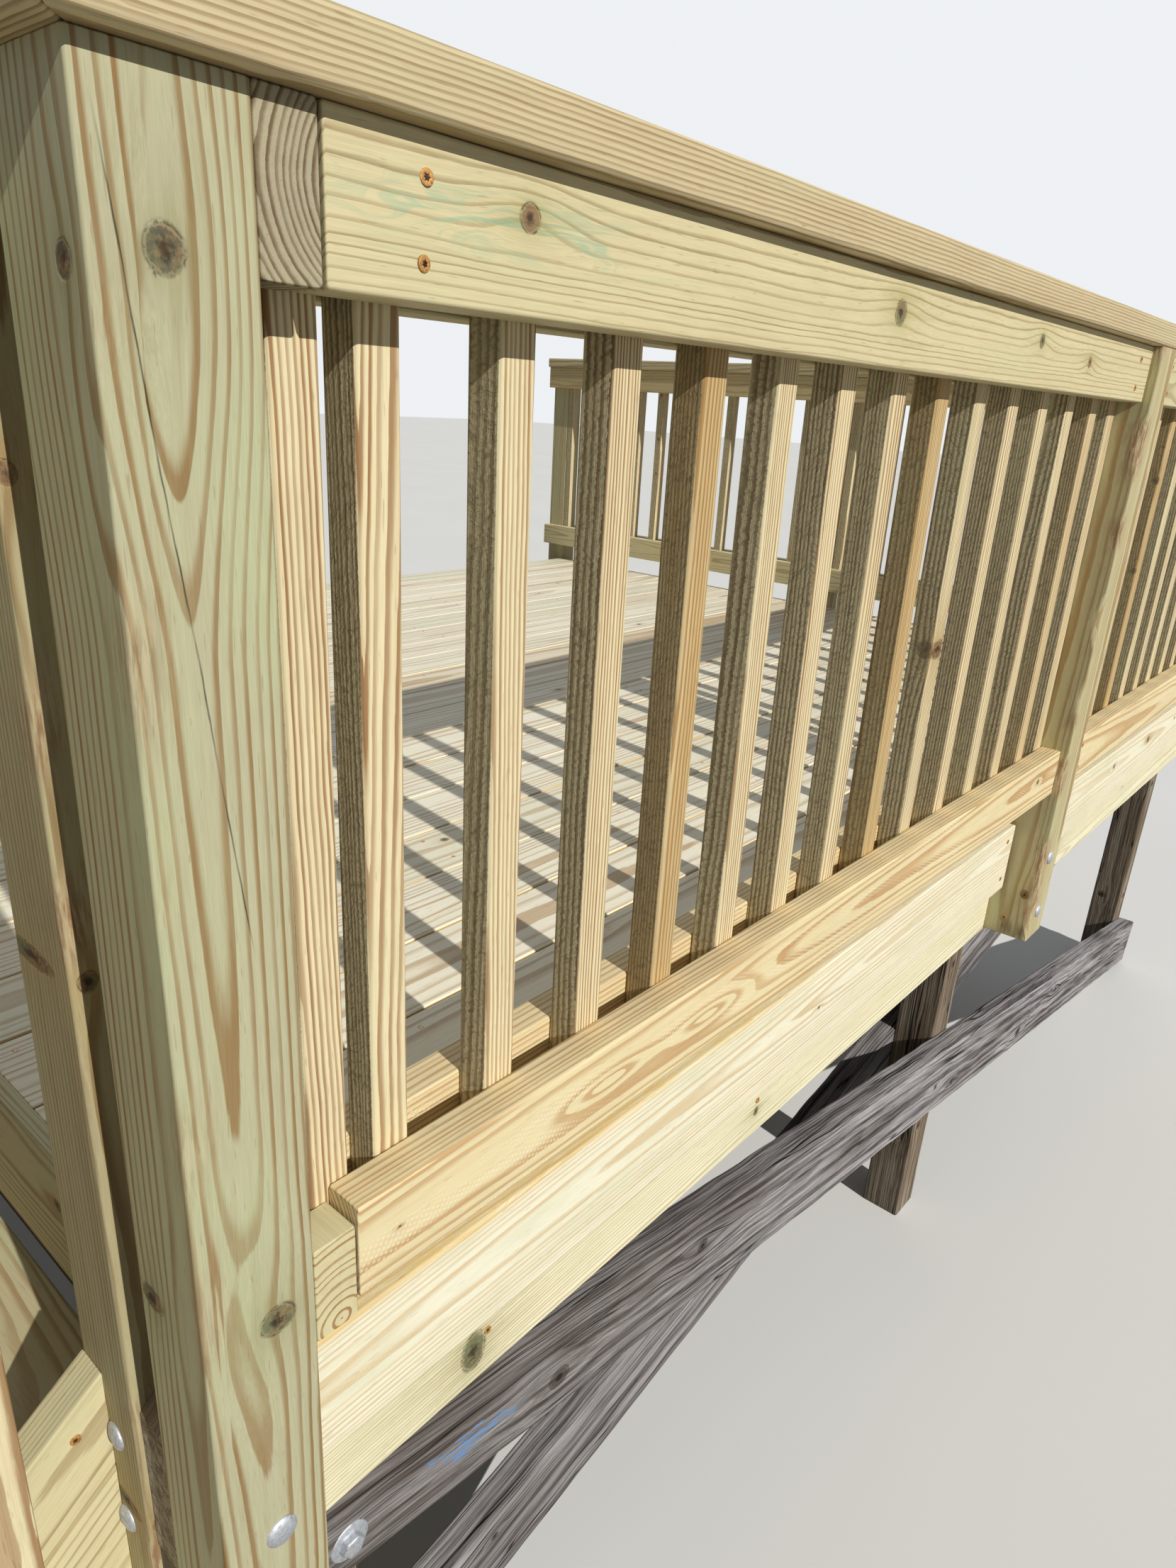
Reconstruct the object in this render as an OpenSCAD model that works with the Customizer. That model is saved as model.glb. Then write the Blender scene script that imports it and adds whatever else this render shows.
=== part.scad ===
// Raised wooden deck with a sandwich-built guard and an open stair.
// Units are millimetres. X runs along the front, Y goes inward, Z is up.
// Ground is Z = 0; the plan is centred on the origin by placed().

/* [Levels] */
// Height of the deck surface above the ground
deck_top = 1104; // [600:1:1800]
// Rise of one stair step
step_rise = 184; // [150:1:200]
// Going of one stair step
step_run = 241; // [220:1:320]
// Height from the deck surface to the underside of the cap
guard_height = 876; // [800:1:1000]
// Gap between the deck surface and the bottom rail
rail_clear = 69; // [30:1:100]

/* [Plan] */
// Length of the front between the outer faces of its end posts
deck_length = 3657; // [2400:1:5000]
// Number of deck boards from front to back
board_count = 20; // [12:1:30]
// Width of the opening at the head of the stair
stair_width = 913; // [800:1:1200]
// Gap between the corner post and the newel behind it
newel_gap = 51; // [0:1:120]
// Distance that guard posts stand proud of the rails
post_proud = 16; // [0:1:30]

/* [Timber] */
// Side of a square post
post = 89; // [80:1:150]
// Thickness of dressed framing lumber
lumber = 38; // [30:1:50]
// Width of a rail
rail_wide = 89; // [60:1:120]
// Width of the cap board
cap_wide = 140; // [100:1:200]
// Side of a square baluster
baluster = 35; // [25:1:50]
// Thickness of a deck board
board_thick = 25; // [20:1:40]
// Width of a deck board
board_wide = 140; // [90:1:200]
// Gap between deck boards
board_gap = 3; // [0:0.5:10]
// Thickness of the old rough timber
old_thick = 51; // [38:1:60]
// Depth of the old rough rim and joists
old_deep = 203; // [150:1:260]
// Height of the worn corner at the front rim's end
rim_bite = 41; // [0:1:80]
// Width of an old rough brace
brace_wide = 152; // [90:1:200]
// Width of a tread and of a stringer
plank_wide = 235; // [180:1:290]
// Radius of the eased edges
ease = 3; // [1:0.5:6]

/* [Guard] */
// Pitch of the balusters
pitch = 122.3; // [90:0.1:140]
// Gap between a post and the first baluster
first_gap = 25; // [5:1:100]
// Distance from a post to the second baluster
second_from = 86; // [60:1:160]
// Gap between the last baluster and its post
last_gap = 2; // [1:1:60]
// Overhang of the cap beyond the rails
cap_over = 17; // [0:1:40]
// Distance that the lower spacer block hangs below its rail
block_drop = 14; // [0:1:40]
// Slit between a spacer block and the rail end
block_slit = 2; // [0:0.5:6]
// Height of the lower ends of the guard posts
post_foot = 850; // [400:1:1000]

/* [Fascia] */
// Thickness of the lower fascia
low_thick = 16; // [12:1:30]
// Lower edge of the lower fascia
low_bottom = 844; // [700:1:950]
// Distance from the deck surface to the upper edge of the upper fascia
upper_drop = 9; // [0:1:40]
// Thickness of the stair end fascia
end_thick = 19; // [12:1:30]
// Height of the stair end fascia
end_tall = 160; // [100:1:240]

/* [Support] */
// Distance from the corner to the first support post
support_in = 127; // [89:1:300]
// Distance from the corner to the middle support post
support_mid = 1820; // [1500:1:2200]
// Distance from the corner to the upper end of a brace
brace_from = 100; // [20:1:300]
// Height of the upper edge of a brace at the corner
brace_high = 889; // [600:1:900]
// Slope of a brace
brace_slope = 0.2; // [0.05:0.01:0.5]
// Number of joist bays before the middle support post
bays_before = 5; // [3:1:8]
// Number of joist bays after the middle support post
bays_after = 4; // [3:1:8]

/* [Stair] */
// Number of treads below the deck
tread_count = 5; // [1:1:9]
// Distance from the nosing line down to the cheek
cheek_drop = 15; // [0:1:60]
// Distance that the handrail stays below the height of the guard
hand_drop = 16; // [0:1:60]
// Distance from the deck corner to the first nosing
nose_in = 57; // [0:1:120]
// Distance from the last nosing to the foot newel
foot_out = 53; // [20:1:150]
// Distance that the stair cap runs past the foot newel
cap_run_out = 25; // [0:1:60]
// Inset of a tread cleat from the tread edges
cleat_inset = 12; // [0:1:40]
// Distance from the newel to the first stair baluster
stair_first = 77; // [20:1:120]

/* [Hidden] */
$fn = 32;
tiny = 0.01;
sandwich = 2 * lumber + baluster;
post_line = lumber + baluster;
frame_top = deck_top - board_thick;
cap_z = deck_top + guard_height;
top_rail_z = cap_z - rail_wide;
low_rail_z = deck_top + rail_clear;
pitch_board = board_wide + board_gap;
deck_y0 = post_line;
deck_y1 = deck_y0 + board_count * pitch_board - board_gap;
deck_x0 = nose_in + end_thick;
right_line = deck_length - post_proud;
deck_x1 = right_line - post_line;
mid_x = (deck_length - post_proud) / 2 - post / 2 + post_proud / 2 - 0.5;
mid_y = (deck_y0 + deck_y1 - post) / 2;
front_rim = post_line + low_thick;
front_support = front_rim + old_thick;
back_rim = deck_y1 - low_thick - old_thick;
back_support = back_rim - post;
newel_y = post + newel_gap;
newel2_y = newel_y + post + stair_width;
rim_z = frame_top - old_deep;
end_joist_x = deck_x1 - low_thick - old_thick;
beside_mid = support_mid + post;
joist_places = concat(
  [for (i = [0 : bays_before - 1]) deck_x0 + i * (beside_mid - deck_x0) / bays_before],
  [for (i = [0 : bays_after]) beside_mid + i * (end_joist_x - beside_mid) / bays_after]
);
hand_up = guard_height - hand_drop;
brace_turn = atan(brace_slope);
brace_long = (deck_length - 2 - brace_from) / cos(brace_turn);
rake = step_rise / step_run;
rake_cos = cos(atan(rake));
nose_end = nose_in - tread_count * step_run;
foot_x = nose_end - foot_out - post;
stair_mid = newel_y + post + stair_width / 2;
plan_mid_x = (foot_x - cap_run_out + deck_length + cap_over - post_proud) / 2;
plan_mid_y = (deck_y1 + post - cap_over) / 2;
new_wood = [0.84, 0.77, 0.55];
shade_wood = [0.72, 0.64, 0.45];
old_wood = [0.45, 0.42, 0.4];

// Height of the line through the tread nosings at a given distance along X
function nosing(x) = deck_top + rake * (x - nose_in);

// Starting points of the balusters between two posts
function row(a, b) = concat(
  [a + first_gap],
  [for (p = [a + second_from : pitch : b - baluster - last_gap - 60]) p],
  [b - baluster - last_gap]
);

// Cross-section of a stick with eased edges
module soft(w, h, r) {
  translate([r, 0]) square([w - 2 * r, h]);
  translate([0, r]) square([w, h - 2 * r]);
  for (x = [r, w - r], y = [r, h - r]) translate([x, y]) circle(r = r);
}

// Stick with eased edges along its longest side
module stick(at, size, r = ease) {
  longest = max(size);
  if (size[0] == longest)
    translate(at) rotate([90, 0, 90]) linear_extrude(size[0]) soft(size[1], size[2], r);
  else if (size[1] == longest)
    translate(at + [0, size[1], 0]) rotate([90, 0, 0]) linear_extrude(size[1]) soft(size[0], size[2], r);
  else
    translate(at) linear_extrude(size[2]) soft(size[0], size[1], r);
}

// Square post standing at a plan point
module upright(x, y, bottom, top) {
  stick([x, y, bottom], [post, post, top - bottom]);
}

// Flat figure in the X-Z plane thickened along Y
module slab(y, thick, points) {
  translate([0, y + thick, 0]) rotate([90, 0, 0]) linear_extrude(thick) polygon(points);
}

// Board parallel to the stair, from a height over the nosing line downward
module raked(y, thick, over, deep, x0, x1) {
  drop = deep / rake_cos;
  intersection() {
    slab(y, thick, [
      [x0, nosing(x0) + over], [x0, nosing(x0) + over - drop],
      [x1, nosing(x1) + over - drop], [x1, nosing(x1) + over]
    ]);
    translate([foot_x - post, y - 1, 0]) cube([deck_length, thick + 2, cap_z]);
  }
}

// Copy on the far side of the stair
module stair_mirror() {
  translate([0, 2 * stair_mid, 0]) mirror([0, 1, 0]) children();
}

module placed() {
  translate([-plan_mid_x, -plan_mid_y, 0]) children();
}

module newel_notches(low, high) {
  for (y = [0, newel_y, newel2_y])
    translate([-1, y - (y > 0 ? 0 : 1), low]) cube([post + 1, post + (y > 0 ? 0 : 1), high - low]);
}

module decking() {
  color(new_wood) placed() difference() {
    for (i = [0 : board_count - 1])
      translate([deck_x0, deck_y0 + i * pitch_board, frame_top])
        cube([deck_x1 - deck_x0, board_wide, board_thick]);
    newel_notches(frame_top - 1, deck_top + 1);
  }
}

module joists() {
  color(old_wood) placed() difference() {
    for (x = joist_places)
      translate([x, front_support, rim_z]) cube([old_thick, back_rim - front_support, old_deep]);
    newel_notches(rim_z - 1, frame_top + 1);
  }
}

module joist_blocks() {
  color(old_wood) placed() for (i = [0 : len(joist_places) - 2]) {
    x = joist_places[i] + old_thick;
    translate([x, mid_y + (i % 2) * old_thick, rim_z + 6])
      cube([joist_places[i + 1] - x, lumber, old_deep - 12]);
  }
}

module rim(y, bite = 0) {
  deep = old_deep;
  color(old_wood) placed()
    translate([6, y + old_thick, rim_z]) rotate([90, 0, 0]) linear_extrude(old_thick)
      polygon([[0, 0], [right_line - 6, 0], [right_line - 6, deep], [1.3 * bite, deep], [0, deep - bite]]);
}

module fascia_upper_front() {
  color(new_wood) placed() {
    z = deck_top - upper_drop - board_wide;
    stick([post, post_line - board_thick, z], [mid_x - post, board_thick, board_wide]);
    stick([mid_x + post, post_line - board_thick, z],
      [deck_x1 - mid_x - post, board_thick, board_wide]);
  }
}

module fascia_lower(x, y, length) {
  color(new_wood) placed()
    translate([x, y, low_bottom]) cube([length, low_thick, frame_top - low_bottom]);
}

module fascia_upper_right() {
  z = deck_top - upper_drop - board_wide;
  start = front_support + post;
  color(new_wood) placed() {
    stick([deck_x1, start, z], [board_thick, mid_y - start, board_wide]);
    stick([deck_x1, mid_y + post, z], [board_thick, back_support - mid_y - post, board_wide]);
  }
}

module fascia_lower_right() {
  color(new_wood) placed()
    translate([deck_x1 - low_thick, front_support, low_bottom])
      cube([low_thick, back_rim - front_support, frame_top - low_bottom]);
}

module fascia_stair_end() {
  color(new_wood) placed() {
    stick([nose_in, newel_y + post, deck_top - end_tall], [end_thick, stair_width, end_tall], ease / 2);
    stick([nose_in, newel2_y + post, deck_top - end_tall],
      [end_thick, back_rim - newel2_y - post, end_tall], ease / 2);
  }
}

module guard_post(x, y) {
  color(new_wood) placed() upright(x, y, post_foot, cap_z);
}

module newel(y) {
  color(new_wood) placed() upright(0, y, 0, cap_z);
}

module foot_newel() {
  slab(newel_y, post, [
    [foot_x, 0], [foot_x + post, 0],
    [foot_x + post, nosing(foot_x + post) + hand_up], [foot_x, nosing(foot_x) + hand_up]
  ]);
}

module support(x, y) {
  color(old_wood) placed() translate([x, y, 0]) cube([post, post, frame_top]);
}

module brace(y) {
  translate([brace_from, y, brace_high - brace_slope * brace_from - brace_wide / cos(brace_turn)])
    rotate([0, brace_turn, 0]) cube([brace_long - 31, old_thick, brace_wide]);
}

module brace_back_way(y) {
  translate([brace_from + deck_length - 2, 0, 0]) mirror([1, 0, 0]) brace(y);
}

module rails_front(z) {
  color(new_wood) placed() {
    start = post + lumber + block_slit;
    stick([start, 0, z], [mid_x - start, lumber, rail_wide]);
    stick([mid_x + post, 0, z], [deck_x1 - mid_x - post, lumber, rail_wide]);
    stick([post, post_line, z], [deck_x1 - post, lumber, rail_wide]);
  }
}

module rails_right(z) {
  color(new_wood) placed() {
    stick([right_line - lumber, post_line, z], [lumber, mid_y - post_line, rail_wide]);
    stick([right_line - lumber, mid_y + post, z], [lumber, deck_y1 - mid_y - post, rail_wide]);
    stick([right_line - sandwich, sandwich, z], [lumber, deck_y1 + post - sandwich, rail_wide]);
  }
}

module rails_left(z) {
  color(new_wood) placed() {
    stick([0, newel2_y + post, z], [lumber, deck_y1 - newel2_y - post, rail_wide]);
    stick([post_line, newel2_y + post, z], [lumber, deck_y1 - newel2_y - post, rail_wide]);
  }
}

module spacer(z) {
  color(new_wood) placed() translate([post, 0, z]) cube([lumber, lumber, rail_wide]);
}

module baluster_at(x, y) {
  stick([x, y, low_rail_z + 6], [baluster, baluster, cap_z - low_rail_z - 12], ease / 1.5);
}

module balusters_front() {
  color(shade_wood) placed() {
    for (x = row(post, mid_x)) baluster_at(x, lumber);
    for (x = row(mid_x + post, deck_x1)) baluster_at(x, lumber);
  }
}

module balusters_right() {
  color(shade_wood) placed() {
    for (y = row(post_line, mid_y)) baluster_at(deck_x1, y);
    for (y = row(mid_y + post, deck_y1)) baluster_at(deck_x1, y);
  }
}

module balusters_left() {
  color(shade_wood) placed() for (y = row(newel2_y + post, deck_y1)) baluster_at(lumber, y);
}

module stair_balusters() {
  y = newel_y + post - lumber - baluster;
  low = -cheek_drop - rail_wide / rake_cos + 8;
  high = hand_up - 6;
  for (right = [-stair_first : -pitch : foot_x + post + baluster + 20]) {
    left = right - baluster;
    slab(y, baluster, [
      [left, nosing(left) + low], [right, nosing(right) + low],
      [right, nosing(right) + high], [left, nosing(left) + high]
    ]);
  }
}

module cap(points) {
  color(new_wood) placed() translate([0, 0, cap_z]) linear_extrude(lumber) polygon(points);
}

module cap_front() {
  far = right_line + cap_over;
  cap([
    [-cap_over, -cap_over], [far, -cap_over],
    [far - cap_wide, cap_wide - cap_over], [cap_wide - cap_over, cap_wide - cap_over]
  ]);
}

module cap_right() {
  far = right_line + cap_over;
  cap([
    [far, -cap_over], [far, deck_y1 + post],
    [far - cap_wide, deck_y1 + post], [far - cap_wide, cap_wide - cap_over]
  ]);
}

module cap_corner_leg() {
  cap([
    [-cap_over, -cap_over], [cap_wide - cap_over, cap_wide - cap_over],
    [cap_wide - cap_over, newel_y + post + cap_over], [-cap_over, newel_y + post + cap_over]
  ]);
}

module cap_left() {
  cap([
    [-cap_over, newel2_y - cap_over], [cap_wide - cap_over, newel2_y - cap_over],
    [cap_wide - cap_over, deck_y1 + post], [-cap_over, deck_y1 + post]
  ]);
}

module stair_cap() {
  y = newel_y + post - (lumber + baluster) / 2 - cap_wide / 2;
  raked(y, cap_wide, hand_up + lumber / rake_cos, lumber, foot_x - cap_run_out, 0);
}

module stringer() {
  raked(newel_y + post - lumber, lumber, -cheek_drop - rail_wide / rake_cos, plank_wide, foot_x + post, 0);
}

module cheek() {
  raked(newel_y + post - lumber, lumber, -cheek_drop, rail_wide, foot_x + post, 0);
}

module handrail() {
  raked(newel_y + post - lumber, lumber, hand_up, rail_wide, foot_x + post, 0);
}

module treads() {
  color(new_wood) placed() for (k = [1 : tread_count])
    stick([nose_in - k * step_run, newel_y + post, deck_top - k * step_rise - lumber],
      [plank_wide, stair_width, lumber]);
}

module cleats() {
  for (k = [1 : tread_count])
    translate([
      nose_in - k * step_run + cleat_inset, newel_y + post, deck_top - k * step_rise - 2 * lumber
    ]) cube([plank_wide - 2 * cleat_inset, lumber, lumber]);
}

module stair_side(far) {
  if (far) stair_mirror() children();
  else children();
}

decking();
joists();
joist_blocks();
rim(front_rim, rim_bite);  // rim_front
rim(back_rim);  // rim_back
fascia_upper_front();
fascia_lower(post, deck_y0, deck_length - post);  // fascia_lower_front
fascia_lower(0, deck_y1 - low_thick, deck_length);  // fascia_lower_back
fascia_upper_right();
fascia_lower_right();
fascia_stair_end();
guard_post(0, 0);  // post_corner
guard_post(mid_x, -post_proud);  // post_front_mid
guard_post(deck_x1, -post_proud);  // post_front_right
guard_post(deck_x1, mid_y);  // post_right_mid
guard_post(deck_x1, deck_y1);  // post_back_right
guard_post(0, deck_y1);  // post_back_left
newel(newel_y);  // newel_front
newel(newel2_y);  // newel_rear
color(new_wood) placed() foot_newel();  // foot_newel_front
color(new_wood) placed() stair_side(true) foot_newel();  // foot_newel_rear
support(support_in, front_support);  // support_front_left
support(support_mid, front_support);  // support_front_mid
support(deck_x1, front_support);  // support_front_right
support(support_in, back_support);  // support_back_left
support(support_mid, back_support);  // support_back_mid
support(deck_x1, back_support);  // support_back_right
color(old_wood) placed() brace(front_rim);  // brace_front_outer
color(old_wood) placed() brace_back_way(front_support + post);  // brace_front_inner
color(old_wood) placed() brace(back_rim);  // brace_back_outer
color(old_wood) placed() brace_back_way(back_support - old_thick);  // brace_back_inner
rails_front(top_rail_z);  // rails_top_front
rails_front(low_rail_z);  // rails_bottom_front
rails_right(top_rail_z);  // rails_top_right
rails_right(low_rail_z);  // rails_bottom_right
rails_left(top_rail_z);  // rails_top_left
rails_left(low_rail_z);  // rails_bottom_left
spacer(top_rail_z);  // spacer_top
spacer(low_rail_z - block_drop);  // spacer_bottom
balusters_front();
balusters_right();
balusters_left();
color(shade_wood) placed() stair_balusters();  // balusters_stair_front
color(shade_wood) placed() stair_side(true) stair_balusters();  // balusters_stair_rear
cap_front();
cap_right();
cap_corner_leg();
cap_left();
color(new_wood) placed() stair_cap();  // cap_stair_front
color(new_wood) placed() stair_side(true) stair_cap();  // cap_stair_rear
color(new_wood) placed() stringer();  // stringer_front
color(new_wood) placed() stair_side(true) stringer();  // stringer_rear
color(new_wood) placed() cheek();  // cheek_front
color(new_wood) placed() stair_side(true) cheek();  // cheek_rear
color(new_wood) placed() handrail();  // handrail_front
color(new_wood) placed() stair_side(true) handrail();  // handrail_rear
treads();
color(shade_wood) placed() cleats();  // cleats_front
color(shade_wood) placed() stair_side(true) cleats();  // cleats_rear
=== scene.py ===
"""Looks of a raised wooden deck with a sandwich-built guard and an open stair."""

import logging
import math
from collections.abc import Callable
from dataclasses import dataclass
from enum import Enum
from functools import reduce

import bpy
import numpy as np
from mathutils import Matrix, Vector


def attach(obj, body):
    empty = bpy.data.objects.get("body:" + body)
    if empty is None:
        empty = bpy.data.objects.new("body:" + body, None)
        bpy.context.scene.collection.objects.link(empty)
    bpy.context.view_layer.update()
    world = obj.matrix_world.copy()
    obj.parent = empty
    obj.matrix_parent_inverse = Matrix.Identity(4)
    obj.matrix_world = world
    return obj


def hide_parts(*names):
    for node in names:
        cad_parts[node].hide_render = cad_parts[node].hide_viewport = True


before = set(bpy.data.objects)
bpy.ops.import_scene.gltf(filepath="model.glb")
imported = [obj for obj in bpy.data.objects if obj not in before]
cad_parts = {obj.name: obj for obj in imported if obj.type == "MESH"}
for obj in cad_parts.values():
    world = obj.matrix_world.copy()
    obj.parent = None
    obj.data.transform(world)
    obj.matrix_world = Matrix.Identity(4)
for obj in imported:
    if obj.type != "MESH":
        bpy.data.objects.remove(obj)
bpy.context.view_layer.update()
log = logging.getLogger("deck")

Socket = bpy.types.NodeSocket
Pair = tuple[float, float]
Vec = tuple[float, float, float]
Knot = tuple[float, float, float, float]
Shape = tuple[np.ndarray, list]
X: Vec = (1.0, 0.0, 0.0)
Y: Vec = (0.0, 1.0, 0.0)
Z: Vec = (0.0, 0.0, 1.0)
LEFT: Vec = (-1.0, 0.0, 0.0)
FRONT: Vec = (0.0, -1.0, 0.0)
METRE = 1000.0  # in millimetres
GOLDEN = 0.6180339  # spreads the seeds evenly between 0 and 1


# ---------------- sizes


@dataclass(frozen=True)
class Plan:
    """Sizes of the whole deck in millimetres, the same as in the part's source."""

    deck_top: float = 1104
    step_rise: float = 184
    step_run: float = 241
    guard_height: float = 876
    rail_clear: float = 69
    deck_length: float = 3657
    board_count: int = 20
    stair_width: float = 913
    newel_gap: float = 51
    post_proud: float = 16
    post: float = 89
    lumber: float = 38
    rail_wide: float = 89
    cap_wide: float = 140
    baluster: float = 35
    board_thick: float = 25
    board_wide: float = 140
    board_gap: float = 3
    old_thick: float = 51
    old_deep: float = 203
    rim_bite: float = 41
    brace_wide: float = 152
    plank_wide: float = 235
    pitch: float = 122.3
    first_gap: float = 25
    second_from: float = 86
    last_gap: float = 2
    last_clear: float = 60
    cap_over: float = 17
    block_drop: float = 14
    block_slit: float = 2
    post_foot: float = 850
    low_thick: float = 16
    low_bottom: float = 844
    upper_drop: float = 9
    end_thick: float = 19
    end_tall: float = 160
    support_in: float = 127
    support_mid: float = 1820
    brace_from: float = 100
    brace_high: float = 889
    brace_slope: float = 0.2
    bays_before: int = 5
    bays_after: int = 4
    tread_count: int = 5
    cheek_drop: float = 15
    hand_drop: float = 16
    nose_in: float = 57
    foot_out: float = 53
    cap_run_out: float = 25
    cleat_inset: float = 12
    stair_first: float = 77

    @property
    def post_line(self) -> float:
        """Depth from the rail's outer face to the inner face of the balusters."""
        return self.lumber + self.baluster

    @property
    def sandwich(self) -> float:
        """Depth of both rails and the balusters between them."""
        return self.post_line + self.lumber

    @property
    def frame_top(self) -> float:
        """Height of the joists' upper edges."""
        return self.deck_top - self.board_thick

    @property
    def cap_z(self) -> float:
        """Height of the underside of the cap."""
        return self.deck_top + self.guard_height

    @property
    def top_rail_z(self) -> float:
        """Lower edge of the top rails."""
        return self.cap_z - self.rail_wide

    @property
    def low_rail_z(self) -> float:
        """Lower edge of the bottom rails."""
        return self.deck_top + self.rail_clear

    @property
    def deck_y0(self) -> float:
        """Front edge of the first deck board."""
        return self.post_line

    @property
    def deck_y1(self) -> float:
        """Rear edge of the last deck board."""
        return self.board_y(self.board_count) - self.board_gap

    @property
    def deck_x0(self) -> float:
        """End of the deck boards at the stair."""
        return self.nose_in + self.end_thick

    @property
    def right_line(self) -> float:
        """Outer face of the rails on the right side."""
        return self.deck_length - self.post_proud

    @property
    def deck_x1(self) -> float:
        """End of the deck boards at the right side."""
        return self.right_line - self.post_line

    @property
    def mid_x(self) -> float:
        """Left face of the middle post of the front, half a millimetre off the middle."""
        return (self.deck_length - self.post) / 2 - 0.5

    @property
    def mid_x1(self) -> float:
        """Right face of the middle post of the front."""
        return self.mid_x + self.post

    @property
    def mid_y(self) -> float:
        """Front face of the middle post of the right side."""
        return (self.deck_y0 + self.deck_y1 - self.post) / 2

    @property
    def mid_y1(self) -> float:
        """Rear face of the middle post of the right side."""
        return self.mid_y + self.post

    @property
    def post_back(self) -> float:
        """Rear face of the rear posts."""
        return self.deck_y1 + self.post

    @property
    def front_rim(self) -> float:
        """Front face of the old rim."""
        return self.post_line + self.low_thick

    @property
    def front_support(self) -> float:
        """Front face of the support posts."""
        return self.front_rim + self.old_thick

    @property
    def back_rim(self) -> float:
        """Front face of the rear rim."""
        return self.deck_y1 - self.low_thick - self.old_thick

    @property
    def back_support(self) -> float:
        """Front face of the rear support posts."""
        return self.back_rim - self.post

    @property
    def newel_y(self) -> float:
        """Front face of the first newel."""
        return self.post + self.newel_gap

    @property
    def stair_y0(self) -> float:
        """Rear face of the first newel, where the stair's width starts."""
        return self.newel_y + self.post

    @property
    def newel2_y(self) -> float:
        """Front face of the second newel, where the stair's width ends."""
        return self.stair_y0 + self.stair_width

    @property
    def left_y0(self) -> float:
        """Rear face of the second newel, where the left guard starts."""
        return self.newel2_y + self.post

    @property
    def rim_z(self) -> float:
        """Lower edge of the rims and joists."""
        return self.frame_top - self.old_deep

    @property
    def end_joist_x(self) -> float:
        """Left face of the last joist."""
        return self.deck_x1 - self.low_thick - self.old_thick

    @property
    def rake(self) -> float:
        """Slope of the stair."""
        return self.step_rise / self.step_run

    @property
    def rake_cos(self) -> float:
        """Cosine of the angle of the stair's slope."""
        return math.cos(math.atan(self.rake))

    @property
    def foot_x(self) -> float:
        """Outer face of the stair's foot newels."""
        return self.nose_in - self.tread_count * self.step_run - self.foot_out - self.post

    @property
    def hand_up(self) -> float:
        """Height of the handrail's top over the nosing line."""
        return self.guard_height - self.hand_drop

    @property
    def stair_mid(self) -> float:
        """Middle line of the stair."""
        return self.stair_y0 + self.stair_width / 2

    @property
    def middle(self) -> Vec:
        """Plan point that the part's origin stands on."""
        ends = self.foot_x - self.cap_run_out + self.deck_length + self.cap_over - self.post_proud
        return (ends / 2, (self.post_back - self.cap_over) / 2, 0.0)

    def board_y(self, i: int) -> float:
        """Front edge of deck board number i."""
        return self.deck_y0 + i * (self.board_wide + self.board_gap)

    def tread(self, k: int) -> Pair:
        """Left edge and upper face of tread number k, counted from 1 down the stair."""
        return self.nose_in - k * self.step_run, self.deck_top - k * self.step_rise

    def across(self, y: float, wide: float) -> float:
        """Nearer face of what stands opposite, on the stair's other side, to a thing at y."""
        return 2 * self.stair_mid - y - wide

    def nosing(self, x: float) -> float:
        """Height of the line through the nosings at x."""
        return self.deck_top + self.rake * (x - self.nose_in)

    def joist_places(self) -> list[float]:
        """Left faces of the joists, evenly spread on both sides of the middle support."""
        beside = self.support_mid + self.post
        before = (beside - self.deck_x0, self.bays_before)
        after = (self.end_joist_x - beside, self.bays_after)
        first = [self.deck_x0 + i * before[0] / before[1] for i in range(before[1])]
        return first + [beside + i * after[0] / after[1] for i in range(after[1] + 1)]

    def row(self, a: float, b: float) -> list[float]:
        """Starting points of the balusters between posts at a and b."""
        last = b - self.baluster - self.last_gap
        middle = np.arange(a + self.second_from, last - self.last_clear + 1e-6, self.pitch)
        return [a + self.first_gap, *middle, last]


PLAN = Plan()


# ---------------- shader graph


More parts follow.
